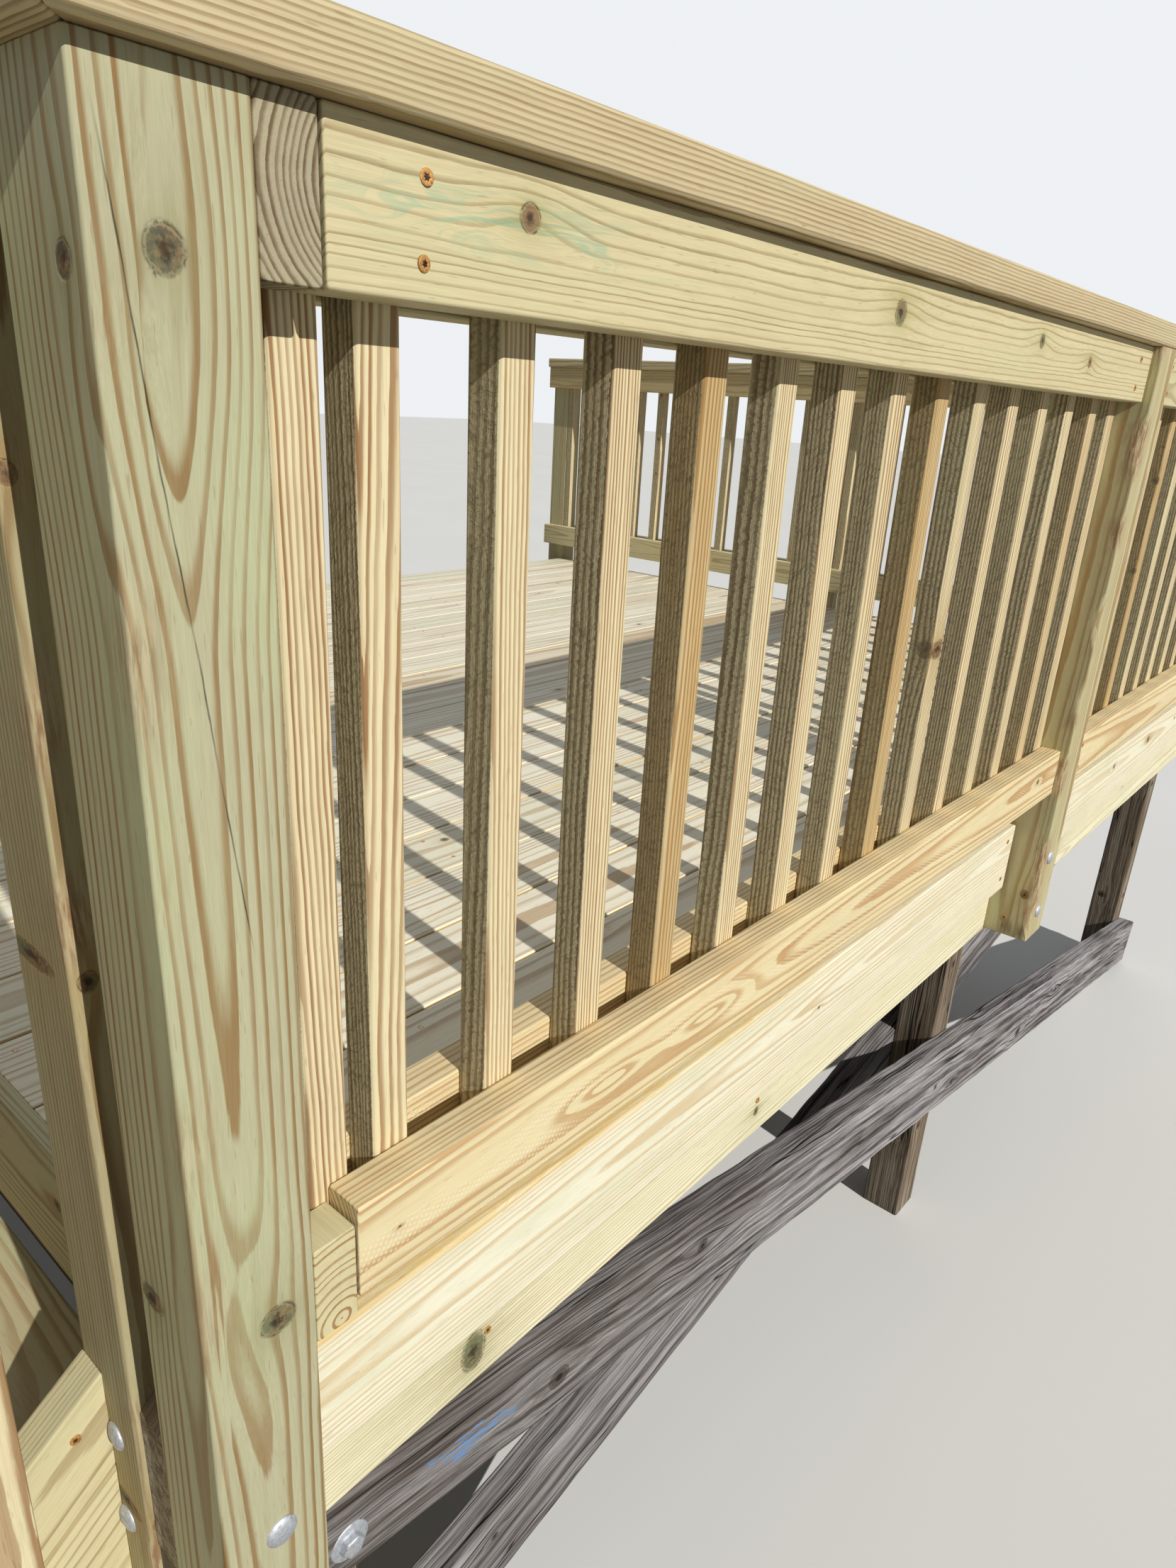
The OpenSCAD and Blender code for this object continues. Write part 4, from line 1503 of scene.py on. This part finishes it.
@dataclass
class Braces:
    """Long flat old boards that cross on both faces of the support posts."""

    seed: int = 560
    right_inset: float = 2
    end_short: float = 31
    marks: tuple[tuple[float, float, float], ...] = (
        (1782.0, 45.0, 7.0), (3563.0, 63.0, 6.0), (2286.0, 43.0, 14.0), (700.0, 100.0, 10.0))

    def board(self, y: float, rising: bool, seed: int) -> Board:
        """One brace in its plane, falling or rising to the right."""
        p = PLAN
        turn = math.atan(p.brace_slope)
        c, s = math.cos(turn), math.sin(turn)
        right = p.deck_length - self.right_inset
        size = ((right - p.brace_from) / c - self.end_short, p.brace_wide, p.old_thick)
        low = p.brace_high - p.brace_slope * p.brace_from - p.brace_wide / c
        common = dict(lump=1.6, spacing=26.0, between=5, bow=0.0, ease=4.0)
        if rising:
            return Board((right, y, low), (-c, 0.0, -s), (-s, 0.0, c), *size, seed, **common)
        knots = tuple((along, across, p.old_thick, radius) for along, across, radius in self.marks)
        return Board((p.brace_from, y + p.old_thick, low), (c, 0.0, -s), (s, 0.0, c), *size, seed,
                     knots=knots, pith=(10.0, -60.0), mark=(232.0, 60.0, 1.0), **common)

    def build(self) -> None:
        """Builds the four braces."""
        p = PLAN
        rows = (("front_outer", p.front_rim, False),
                ("front_inner", p.front_support + p.post, True),
                ("back_outer", p.back_rim, False),
                ("back_inner", p.back_support - p.old_thick, True))
        for i, (name, y, rising) in enumerate(rows):
            piece(f"old_brace_{name}", [self.board(y, rising, self.seed + i)], Finish.BRACE,
                  f"brace_{name}")


@dataclass
class Rails:
    """Outer and inner rails, with the spacer blocks beside the corner post."""

    @property
    def start(self) -> float:
        """Left end of the near front rails, just beside the spacer block."""
        return PLAN.post + PLAN.lumber + PLAN.block_slit

    def front(self, z: float, name: str, seed: int, seen: dict) -> None:
        """Rails of the front at height z, the near one with the grain that is seen."""
        p = PLAN
        runs = ((self.start, 0, p.mid_x), (p.mid_x1, 0, p.deck_x1),
                (p.post, p.post_line, p.deck_x1))
        near = dict(seen, bow=0.0, spacing=36.0, tone=0.0)
        made = [front_board((x, y, z), (x1 - x, p.lumber, p.rail_wide), seed + i,
                            **({} if i else near))
                for i, (x, y, x1) in enumerate(runs)]
        finish = Finish.RAIL if name == "top" else Finish.LOWER
        piece(f"{name}_front_rails", made, finish, f"rails_{name}_front")

    def right(self, z: float, name: str, seed: int) -> None:
        """Rails of the right side at height z."""
        p = PLAN
        x = p.right_line - p.lumber
        runs = ((x, p.post_line, p.mid_y), (x, p.mid_y1, p.deck_y1),
                (p.right_line - p.sandwich, p.sandwich, p.post_back))
        made = [stick((x, y, z), (p.lumber, y1 - y, p.rail_wide), seed + i)
                for i, (x, y, y1) in enumerate(runs)]
        piece(f"{name}_right_rails", made, Finish.RAIL, f"rails_{name}_right")

    def left(self, z: float, name: str, seed: int) -> None:
        """Rails of the left side at height z."""
        p = PLAN
        made = [stick((x, p.left_y0, z), (p.lumber, p.deck_y1 - p.left_y0, p.rail_wide), seed + i)
                for i, x in enumerate((0.0, p.post_line))]
        piece(f"{name}_left_rails", made, Finish.RAIL, f"rails_{name}_left")

    def block(self, name: str, z: float, seed: int, pith: Pair, finish: Finish) -> None:
        """Slice of a rail with its end grain to the front."""
        p = PLAN
        board = Board((p.post, 0, z), Y, Z, p.lumber, p.rail_wide, p.lumber, seed, pith=pith,
                      few=True, ease=2.5, bow=0.0, spacing=12.0, between=3, tone=-0.2,
                      lean=(0.0, 0.0))
        piece(f"{name}_block", [board], finish, f"spacer_{name}")

    def build(self) -> None:
        """Builds all the rails and blocks."""
        p, start, t = PLAN, self.start, PLAN.lumber
        top = dict(knots=((283.0 - start, 57.0, t, 7.5), (819.0 - start, 52.0, t, 10.0),
                          (1242.0 - start, 57.0, t, 7.5), (1457.0 - start, 44.0, t, 6.0)),
                   mark=(150.0, 50.0, 1.0), pith=(70.0, -80.0), lean=(0.004, 0.003))
        low = dict(knots=((1545.0, 52.0, t, 5.0), (40.0, 45.0, t, 1.2)), eye=(476.0, 44.0, 10.5),
                   eye2=(301.0, 46.0, 9.5), pith=(2.0, -62.0), lean=(0.002, 0.010))
        rows = ((p.top_rail_z, "top", 600, top), (p.low_rail_z, "bottom", 620, low))
        for z, name, seed, seen in rows:
            self.front(z, name, seed, seen)
            self.right(z, name, seed + 5)
            self.left(z, name, seed + 10)
        self.block("top", p.top_rail_z, 640, (8.0, 62.0), Finish.BLOCK)
        self.block("bottom", p.low_rail_z - p.block_drop, 641, (-36.0, 3.0), Finish.LOW_BLOCK)


@dataclass
class Balusters:
    """Square balusters, their side faces rough from the saw."""

    tones: tuple[float, ...] = (0.3, 0.35, -0.15, -0.1, 1.0, -0.3, 0.2, -0.3, 0.95, -0.4, 0.1,
                                -0.35, 0.0, 0.6, -0.2)
    knotty: int = 9
    knot: Knot = (361.0, 0.0, 10.0, 11.0)
    end_gap: float = 6
    rail_lap: float = 8
    newel_clear: float = 20

    def upright(self, x: float, y: float, seed: int, tone: float | None = None,
                knots: tuple[Knot, ...] = ()) -> Board:
        """One baluster, with the tone and knots that are seen, or its own."""
        p = PLAN
        rng = np.random.default_rng(seed)
        turn = (rng.integers(0, 4) + 0.5) * math.pi / 2 + rng.uniform(-0.32, 0.32)
        reach = rng.uniform(40.0, 110.0)
        few = rng.uniform() < 0.85 or tone is not None
        if tone is None:
            tone = float(np.clip(rng.normal(0.0, 0.4), -0.6, 1.0))
        long = p.cap_z - p.low_rail_z - 2 * self.end_gap
        return Board((x, y, p.low_rail_z + self.end_gap), Z, X, long, p.baluster, p.baluster,
                     seed, sawn=(1, 3), bow=0.8, between=1, spacing=50.0, few=few, tone=tone,
                     pith=(reach * math.cos(turn), reach * math.sin(turn)), knots=knots)

    def seen(self, row: int, i: int) -> tuple[float | None, tuple[Knot, ...]]:
        """Tone and knots of the balusters nearest to the camera; the others have their own."""
        if row or i >= len(self.tones):
            return None, ()
        return self.tones[i], (self.knot,) if i == self.knotty else ()

    def stair(self, y: float, seed: int) -> list[Board]:
        """Raked row of the stair, each end cut parallel to the slope."""
        p, made = PLAN, []
        low = -p.cheek_drop - p.rail_wide / p.rake_cos + self.rail_lap
        high = p.hand_up - self.end_gap
        right = -p.stair_first
        while right >= p.foot_x + p.post + p.baluster + self.newel_clear:
            left = right - p.baluster
            made.append(Board((left, y, p.nosing(left) + low), Z, X, high - low, p.baluster,
                              p.baluster, seed + len(made), ease=2.2, sawn=(1, 3), between=1,
                              few=True, start=(p.rake, 0.0), end=(p.rake, 0.0)))
            right -= p.pitch
        return made

    def build(self) -> None:
        """Builds all the rows."""
        p = PLAN
        along_x = p.row(p.post, p.mid_x) + p.row(p.mid_x1, p.deck_x1)
        along_y = p.row(p.post_line, p.mid_y) + p.row(p.mid_y1, p.deck_y1)
        rows = (("front", [(x, p.lumber) for x in along_x]),
                ("right", [(p.deck_x1, y) for y in along_y]),
                ("left", [(p.lumber, y) for y in p.row(p.left_y0, p.deck_y1)]))
        for j, (name, spots) in enumerate(rows):
            made = [self.upright(x, y, 700 + 60 * j + i, *self.seen(j, i))
                    for i, (x, y) in enumerate(spots)]
            piece(f"{name}_balusters", made, Finish.BALUSTER, f"balusters_{name}")
        near = p.stair_y0 - p.lumber - p.baluster
        for name, y, seed in (("front", near, 900), ("rear", p.across(near, p.baluster), 920)):
            piece(f"stair_{name}_balusters", self.stair(y, seed), Finish.BALUSTER,
                  f"balusters_stair_{name}")


@dataclass
class Caps:
    """Flat cap boards, mitred at the corners."""

    def board(self, x: float, y: float, along: Vec, long: float, seed: int,
              **more: object) -> Board:
        """A cap board; one along X lies behind its line at x and y, one along Y left of it."""
        p = PLAN
        across = Y if along is X else LEFT
        return Board((x, y, p.cap_z), along, across, long, p.cap_wide, p.lumber, seed, ease=5.0,
                     bow=0.0, **more)

    def build(self) -> None:
        """Builds the caps of the guard."""
        p = PLAN
        over = p.cap_over
        inner, far, stop = p.cap_wide - over, p.right_line + over, p.stair_y0 + over
        front = self.board(-over, -over, X, far + over, 801, start=(1.0, 0.0), end=(-1.0, 0.0),
                           spacing=60.0, tone=0.0, pith=(-58.0, -95.0), lean=(0.002, 0.001))
        right = self.board(far, -over, Y, p.post_back + over, 802, start=(1.0, 0.0))
        leg = self.board(inner, -over, Y, stop + over, 803, start=(-1.0, 0.0), spacing=30.0)
        # Its knots were drawn over the whole board; the mitre leaves the part behind the cut.
        leg.at, leg.length = (inner, inner, p.cap_z), stop - inner
        y = p.newel2_y - over
        left = self.board(inner, y, Y, p.post_back - y, 804)
        for name, board, node in (("front", front, "cap_front"), ("right", right, "cap_right"),
                                  ("corner", leg, "cap_corner_leg"), ("left", left, "cap_left")):
            piece(f"{name}_cap", [board], Finish.CAP, node)


@dataclass
class Stair:
    """Open stair: stringers, cheeks, treads, cleats, handrails and sloped caps."""

    front_seed: int = 840
    rear_seed: int = 860
    tread_seed: int = 880

    def raked(self, y: float, thick: float, over: float, deep: float, x0: float, seed: int,
              **more: object) -> Board:
        """Board parallel to the slope with upright ends, its head at the newels' outer face.

        Args:
            y: its nearer face.
            thick: its size along Y.
            over: height of its upper edge over the nosing line.
            deep: its size square to the slope.
            x0: its foot.
            seed: seed of what varies.
            more: other fields of Board.

        Returns:
            The board; its ends lean by the slope so that they stand upright.
        """
        turn = math.atan(PLAN.rake)
        c, s = math.cos(turn), math.sin(turn)
        low = PLAN.nosing(x0) + over - deep / c
        lean = (s / c, 0.0)
        return Board((x0, y + thick, low), (c, 0.0, s), (-s, 0.0, c), -x0 / c, deep, thick, seed,
                     start=lean, end=lean, bow=0.0, **more)

    def side(self, far: bool) -> None:
        """One side of the stair."""
        p = PLAN
        name, seed = ("rear", self.rear_seed) if far else ("front", self.front_seed)
        y, mid, cleat = p.stair_y0 - p.lumber, p.stair_y0 - p.post_line / 2, p.stair_y0
        if far:
            y, mid, cleat = p.across(y, p.lumber), p.across(mid, 0), p.across(cleat, p.lumber)
        inner = p.foot_x + p.post
        for i, (part, over) in enumerate((("cheek", -p.cheek_drop), ("handrail", p.hand_up))):
            board = self.raked(y, p.lumber, over, p.rail_wide, inner, seed + i, tone=-0.3)
            piece(f"stair_{part}_{name}", [board], Finish.RAIL, f"{part}_{name}")
        cap = self.raked(mid - p.cap_wide / 2, p.cap_wide, p.hand_up + p.lumber / p.rake_cos,
                         p.lumber, p.foot_x - p.cap_run_out, seed + 3, ease=5.0)
        piece(f"stair_cap_{name}", [cap], Finish.RAIL, f"cap_stair_{name}")
        self.stringer(y, name, seed + 5, inner)
        self.cleats(cleat, name, seed + 8)

    def stringer(self, y: float, name: str, seed: int, inner: float) -> None:
        """Wide raked board whose foot is cut level with the ground."""
        p = PLAN
        over = -p.cheek_drop - p.rail_wide / p.rake_cos
        board = self.raked(y, p.lumber, over, p.plank_wide, inner, seed, tone=-0.2, between=10)
        made = piece(f"stair_stringer_{name}", [board], Finish.RAIL, f"stringer_{name}")
        set_heights(made, lambda spots: np.maximum(spots[:, 2], 0.0))

    def cleats(self, y: float, name: str, seed: int) -> None:
        """Short blocks that carry the treads on one side."""
        p, made = PLAN, []
        for k in range(1, p.tread_count + 1):
            x, z = p.tread(k)
            made.append(stick((x + p.cleat_inset, y, z - 2 * p.lumber),
                              (p.plank_wide - 2 * p.cleat_inset, p.lumber, p.lumber), seed + k,
                              few=True, bow=0.0))
        piece(f"stair_cleats_{name}", made, Finish.STAIR, f"cleats_{name}")

    def treads(self) -> None:
        """Treads across the stair."""
        p, made = PLAN, []
        for k in range(1, p.tread_count + 1):
            x, z = p.tread(k)
            made.append(stick((x, p.stair_y0, z - p.lumber),
                              (p.plank_wide, p.stair_width, p.lumber), self.tread_seed + k,
                              tone=0.1, ease=4.0, bow=0.5))
        piece("stair_treads", made, Finish.STAIR, "treads")

    def build(self) -> None:
        """Builds the stair."""
        self.side(False)
        self.side(True)
        self.treads()


# ---------------- fasteners


def turned(profile: tuple[Pair, ...], turns: int, sides: int = 0) -> Shape:
    """Closed body turned from a profile around its axis.

    Args:
        profile: (radius, height) pairs from the rim up to the middle.
        turns: points around.
        sides: when not 0, rings of a negative radius become a polygon of so many sides.

    Returns:
        Points in millimetres around the height axis, and faces: walls, top and underside.
    """
    angle = np.linspace(0, 2 * math.pi, turns, endpoint=False)
    radius = np.array([row[0] for row in profile])[:, None] * np.ones(turns)
    if sides:
        step = 2 * math.pi / sides
        flat = math.cos(step / 2) / np.cos((angle % step) - step / 2)
        radius = np.where(radius < 0, -radius * flat[None], radius)
    high = np.array([row[1] for row in profile])[:, None] * np.ones(turns)
    points = np.stack([radius * np.cos(angle), radius * np.sin(angle), high], 2)
    walls, first, last = tube(len(profile), turns)
    return points.reshape(-1, 3), [*walls, last, first]


@dataclass(frozen=True)
class StarHead:
    """Screw head with a recess of six lobes, whose radius swings with the cosine."""

    radius: float = 4.8
    turns: int = 36
    lobe: float = 0.22
    rows: tuple[tuple[float, float, bool], ...] = (
        (1.0, -1.0, False), (1.0, 0.7, False), (0.92, 1.1, False), (0.40, 0.95, True),
        (0.37, 0.2, True))

    @property
    def inner(self) -> int:
        """How many of the faces belong to the recess: its walls and its floor."""
        return self.turns + 1

    def shape(self) -> Shape:
        """Points in millimetres around the height axis, and faces: walls, floor and underside."""
        angle = np.linspace(0, 2 * math.pi, self.turns, endpoint=False)
        lobes = 1 + self.lobe * np.cos(6 * angle)
        rings = []
        for share, high, star in self.rows:
            reach = share * self.radius * np.where(star, lobes, 1)
            rings.append(np.stack([reach * np.cos(angle), reach * np.sin(angle),
                                   np.full(self.turns, high)], 1))
        walls, first, last = tube(len(rings), self.turns)
        return np.concatenate(rings), [*walls, last, first]


@dataclass(frozen=True)
class Spot:
    """Place of a fastener: a point on a face, the face's outward direction, its turn and tilt."""

    at: Vec
    out: Vec
    spin: float = 0.0
    tip: float = 0.0

    def axes(self) -> np.ndarray:
        """The fastener's own three axes, the third outwards."""
        out = np.array(self.out, float)
        side = np.cross(out, [0.3, 0.2, 1.0] if abs(out[2]) < 0.9 else [1.0, 0.0, 0.0])
        side /= np.linalg.norm(side)
        out = out + self.tip * side
        out /= np.linalg.norm(out)
        side = np.cross(np.cross(out, side), out)
        other = np.cross(out, side)
        c, s = math.cos(self.spin), math.sin(self.spin)
        return np.stack([c * side + s * other, c * other - s * side, out])


def stamped(name: str, shape: Shape, spots: list[Spot], finish: Finish,
            inner: int = 0) -> bpy.types.Object:
    """One object made of copies of a small shape.

    Args:
        name: name of the object.
        shape: points in millimetres, the third along the outward direction, and faces.
        spots: where the copies stand.
        finish: their finish.
        inner: how many faces before the last one belong to the recess, painted black as shade.

    Returns:
        The object, riding on the deck's one body.
    """
    base, faces = shape
    points = [np.array(spot.at, float) + base @ spot.axes() for spot in spots]
    polygons = [[k + i * len(base) for k in face] for i in range(len(spots)) for face in faces]
    mesh = bpy.data.meshes.new(name)
    places = (np.concatenate(points) - np.array(PLAN.middle)) / METRE
    mesh.from_pydata(places.tolist(), [], polygons)
    mesh.materials.append(finish.material())
    # The recess faces take the near-black painted shade.
    if inner:
        mesh.materials.append(Finish.RECESS.material())
        kinds = np.zeros((len(spots), len(faces)), np.int32)
        kinds[:, -1 - inner : -1] = 1
        mesh.polygons.foreach_set("material_index", kinds.ravel())
    made = dressed(name, mesh)
    log.info("%s: %d places", name, len(spots))
    return made


@dataclass
class Fasteners:
    """Bolts of the posts and braces, and screws of rails, fascia, caps, deck and stair."""

    dome: tuple[Pair, ...] = ((13.0, -1.5), (13.6, 0.2), (13.2, 1.5), (11.5, 3.1), (8.4, 4.3),
                              (4.7, 5.0), (1.5, 5.2))
    washer: tuple[Pair, ...] = ((22.0, -1.0), (22.2, 0.6), (21.6, 2.4), (17.0, 2.9),
                                (-13.0, 3.0), (-13.2, 3.4), (-13.0, 9.6), (-11.6, 10.9),
                                (8.0, 11.2), (2.0, 11.2))
    hole: tuple[Pair, ...] = ((3.6, -0.6), (3.7, 0.12), (2.6, 0.22), (2.2, -0.1))
    star: StarHead = StarHead()
    seed: int = 9
    sunk_in: float = 26.0
    sunk_sway: float = 4
    sunk_clear: float = 8

    def bolts(self) -> None:
        """Domed carriage bolts through the posts into the rims, and the braces' hex bolts."""
        p = PLAN
        mid, proud = p.mid_x + p.post / 2, -p.post_proud
        spots = [
            Spot((47, 0, 995), FRONT, 0.3, 0.05), Spot((52, 0, 884), FRONT, 0.9, -0.04),
            Spot((0, 180, 981), LEFT, 0.2, 0.05), Spot((0, 182, 874), LEFT, 1.2, -0.05),
            Spot((0, p.newel2_y + 41, 984), LEFT, 0.4, 0.03),
            Spot((0, p.newel2_y + 45, 878), LEFT, 0.8, -0.03),
            Spot((mid - 11, proud, 1031), FRONT, 0.1, 0.04),
            Spot((mid - 8, proud, 909), FRONT, 0.5),
        ]
        for z, off in ((1026, 44), (905, 41)):
            spots += [
                Spot((p.deck_x1 + off, proud, z), FRONT, off, 0.03),
                Spot((p.deck_x1 + p.post, p.mid_y + off, z), X, off, -0.03),
                Spot((p.deck_x1 + off, p.post_back, z), Y, off, 0.03),
                Spot((off, p.post_back, z), Y, off, -0.03),
            ]
        stamped("carriage_bolts", turned(self.dome, 24), spots, Finish.ZINC)
        middle = p.brace_high - p.brace_wide / 2 / math.cos(math.atan(p.brace_slope))
        rear = [Spot((x, p.back_rim + p.old_thick, middle - p.brace_slope * x), Y, x, -0.03)
                for x in (169.0, p.support_mid + 46, p.deck_x1 + 22)]
        spots = [Spot((169.0, p.front_rim, 749.0), FRONT, 0.4, 0.03), *rear]
        stamped("brace_bolts", turned(self.washer, 36, 6), spots, Finish.ZINC)

    def rails(self) -> list[Spot]:
        """Screws of the rails, in pairs beside the posts."""
        p = PLAN
        spots = [Spot((198, 0, 1956), FRONT, 0.2, 0.12), Spot((196, 0, 1912), FRONT, 0.7, -0.1)]
        for z in (1912, 1956, 1195, 1242):
            for x in (p.mid_x - 62, p.mid_x1 + 60, p.deck_x1 - 60):
                if z > p.deck_top + p.guard_height / 2 or x > p.mid_x:
                    spots.append(Spot((x, 0, z), FRONT, z + x, 0.08))
            for y in (190, p.mid_y - 60, p.mid_y1 + 58, p.deck_y1 - 55):
                spots.append(Spot((p.right_line, y, z), X, z + y, -0.07))
            for y in (p.left_y0 + 52, p.deck_y1 - 60):
                spots.append(Spot((0, y, z), LEFT, z + y, 0.07))
        return spots

    def fascias(self) -> list[Spot]:
        """Screws of the fascia boards; near the corner they sit in the lower edge."""
        p = PLAN
        face = p.post_line - p.board_thick
        spots = [Spot((p.mid_x, 35, 888), LEFT, 0.4, 0.1),
                 Spot((p.mid_x - 40, face, 985), FRONT, 1.0),
                 Spot((p.mid_x - 44, face, 1068), FRONT, 0.4)]
        for x in (343, 884, 1290, 1660, 2100, 2520, 2960, 3380):
            z = 1053 - (x % 7) * 3 if x > 900 else 904
            spots.append(Spot((x, p.deck_y0, z), FRONT, x, 0.1))
        return spots

    def caps(self) -> list[Spot]:
        """Screws down through the caps into both rails."""
        p, spots = PLAN, []
        top = p.cap_z + p.lumber
        for x in (60, 290, 655, 1022, 1400, 1760, 1890, 2260, 2700, 3100, 3540):
            spots.append(Spot((x, 19, top), Z, x, 0.03))
            spots.append(Spot((x + 4, 92, top), Z, x + 1.0, -0.03))
        for y in (330, 700, 1080, 1450, 1830, 2240, 2640):
            spots.append(Spot((p.right_line - 19, y, top), Z, y, 0.03))
            spots.append(Spot((p.right_line - 92, y + 3, top), Z, y + 1.0, -0.03))
            if y > p.newel2_y:
                spots.append(Spot((19, y, top), Z, y, 0.03))
                spots.append(Spot((92, y + 5, top), Z, y, -0.02))
        return spots

    def deck(self) -> None:
        """Two sunk screws where each deck board crosses a joist."""
        p, spots = PLAN, []
        rng = np.random.default_rng(self.seed)
        for i in range(p.board_count):
            for x in p.joist_places():
                for off in (self.sunk_in, p.board_wide - self.sunk_in):
                    dx, dy = rng.uniform(-self.sunk_sway, self.sunk_sway, 2)
                    at = x + p.old_thick / 2 + dx
                    if at > p.post + self.sunk_clear:
                        spots.append(Spot((at, p.board_y(i) + off + dy, p.deck_top), Z))
        stamped("deck_screws", turned(self.hole, 10), spots, Finish.SCREW)

    def stair(self) -> list[Spot]:
        """Screws at both ends of each tread and in the front cheek."""
        p, spots = PLAN, []
        for k in range(1, p.tread_count + 1):
            x, z = p.tread(k)
            for y in (p.stair_y0 + 20, p.newel2_y - 20):
                spots += [Spot((x + dx, y, z), Z, dx, 0.02) for dx in (38, 118, 198)]
        for x in (-29.0, -150.0, -620.0, -1150.0):
            z = p.nosing(x) - p.cheek_drop - 30
            spots.append(Spot((x, p.stair_y0 - p.lumber, z), FRONT, x, 0.1))
        return spots

    def starred(self, name: str, spots: list[Spot]) -> None:
        """Star-drive screws at the spots."""
        stamped(name, self.star.shape(), spots, Finish.SCREW, self.star.inner)

    def build(self) -> None:
        """Builds all the fasteners."""
        self.bolts()
        self.starred("rail_screws", self.rails() + self.fascias() + self.caps())
        self.deck()
        self.starred("stair_screws", self.stair())


# ---------------- stage


@dataclass
class Stage:
    """Pale floor, clear light and the camera at the photograph's place."""

    eye: Vec = (-1.40466, -2.00597, 1.84346)
    turn: Vec = (1.20955875, -0.05444454, -0.85403672)
    lens: float = 23.3133
    sensor: float = 36.0
    floor_reach: float = 60.0
    floor_seen: tuple[Vec, Vec] = ((0.80, 0.80, 0.785), (0.86, 0.86, 0.845))
    floor_dull: Vec = (0.36, 0.36, 0.345)
    sun: float = 3.5
    sun_size: float = 0.6
    sun_high: float = 32.6
    sun_swing: float = 8.0
    sun_colour: Vec = (1.0, 0.972, 0.92)
    back: float = 0.6
    back_size: float = 60.0
    back_ray: Vec = (-0.62, -0.64, -0.45)
    back_colour: Vec = (0.94, 0.97, 1.0)
    fill: float = 0.17
    fill_colour: Vec = (0.84, 0.90, 1.0)
    sky_colour: Vec = (0.86, 0.88, 0.90)

    def floor(self) -> None:
        """A wide floor, pale to the camera and duller where its light falls back on the deck."""
        mesh = bpy.data.meshes.new("floor")
        r = self.floor_reach
        mesh.from_pydata([(-r, -r, 0), (r, -r, 0), (r, r, 0), (-r, r, 0)], [], [(0, 1, 2, 3)])
        g = Graph("floor_paint")
        x, y, z = g.parts(g.node("ShaderNodeTexCoord").outputs["Object"])
        blot = g.noise(g.vector(x * 0.6, y * 0.6, z), 3.0)
        seen = Val(g, g.node("ShaderNodeLightPath").outputs["Is Camera Ray"])
        colour = g.mix(self.floor_dull, g.mix(*self.floor_seen, blot), seen)
        mesh.materials.append(g.surface(colour, 0.9, specular=0.0))
        linked("floor", mesh)

    def lamp(self, name: str, energy: float, size: float, colour: Vec, ray: Vec) -> None:
        """A far lamp that shines along ray and looks as wide as size, in degrees."""
        data = bpy.data.lights.new(name, "SUN")
        data.energy, data.angle, data.color = energy, math.radians(size), colour
        linked(name, data).rotation_euler = Vector(ray).to_track_quat("-Z", "Y").to_euler()

    def light(self) -> None:
        """A key from the front left, a weak broad lamp from the rear and a pale sky."""
        self.lamp("back", self.back, self.back_size, self.back_colour, self.back_ray)
        height, swing = math.radians(self.sun_high), math.radians(self.sun_swing)
        ray = (math.cos(height) * math.sin(swing), math.cos(height) * math.cos(swing),
               -math.sin(height))
        self.lamp("key", self.sun, self.sun_size, self.sun_colour, ray)
        g = Graph("sky", world=True)
        path = g.node("ShaderNodeLightPath").outputs
        kinds = ("Is Camera Ray", "Is Glossy Ray", "Is Transmission Ray")
        seen = reduce(Val.most, [Val(g, path[kind]) for kind in kinds])
        glow = g.node("ShaderNodeBackground", {}, {0: self.fill_colour, 1: self.fill}).outputs[0]
        pale = g.node("ShaderNodeBackground", {}, {0: self.sky_colour, 1: 1.0}).outputs[0]
        mixed = g.node("ShaderNodeMixShader", {}, {0: seen, 1: glow, 2: pale}).outputs[0]
        g.node("ShaderNodeOutputWorld", {}, {0: mixed})
        bpy.context.scene.world = g.owner

    def camera(self) -> None:
        """The camera, solved from the posts and rails of the photograph."""
        data = bpy.data.cameras.new("eye")
        data.sensor_fit, data.sensor_height, data.lens = "VERTICAL", self.sensor, self.lens
        data.clip_start = 0.02
        made = linked("eye", data)
        made.location, made.rotation_euler = self.eye, self.turn
        bpy.context.scene.camera = made

    def build(self) -> None:
        """Sets the stage."""
        self.floor()
        self.light()
        self.camera()
        bpy.context.scene.view_settings.view_transform = "Standard"


def main() -> None:
    """Builds every sub-assembly in order."""
    logging.basicConfig(level=logging.INFO, format="%(message)s")
    for part in (Stage(), Platform(), Fascias(), Posts(), Braces(), Rails(), Balusters(), Caps(),
                 Stair(), Fasteners()):
        part.build()
        log.info("%s done", type(part).__name__)


if __name__ == "__main__":
    main()
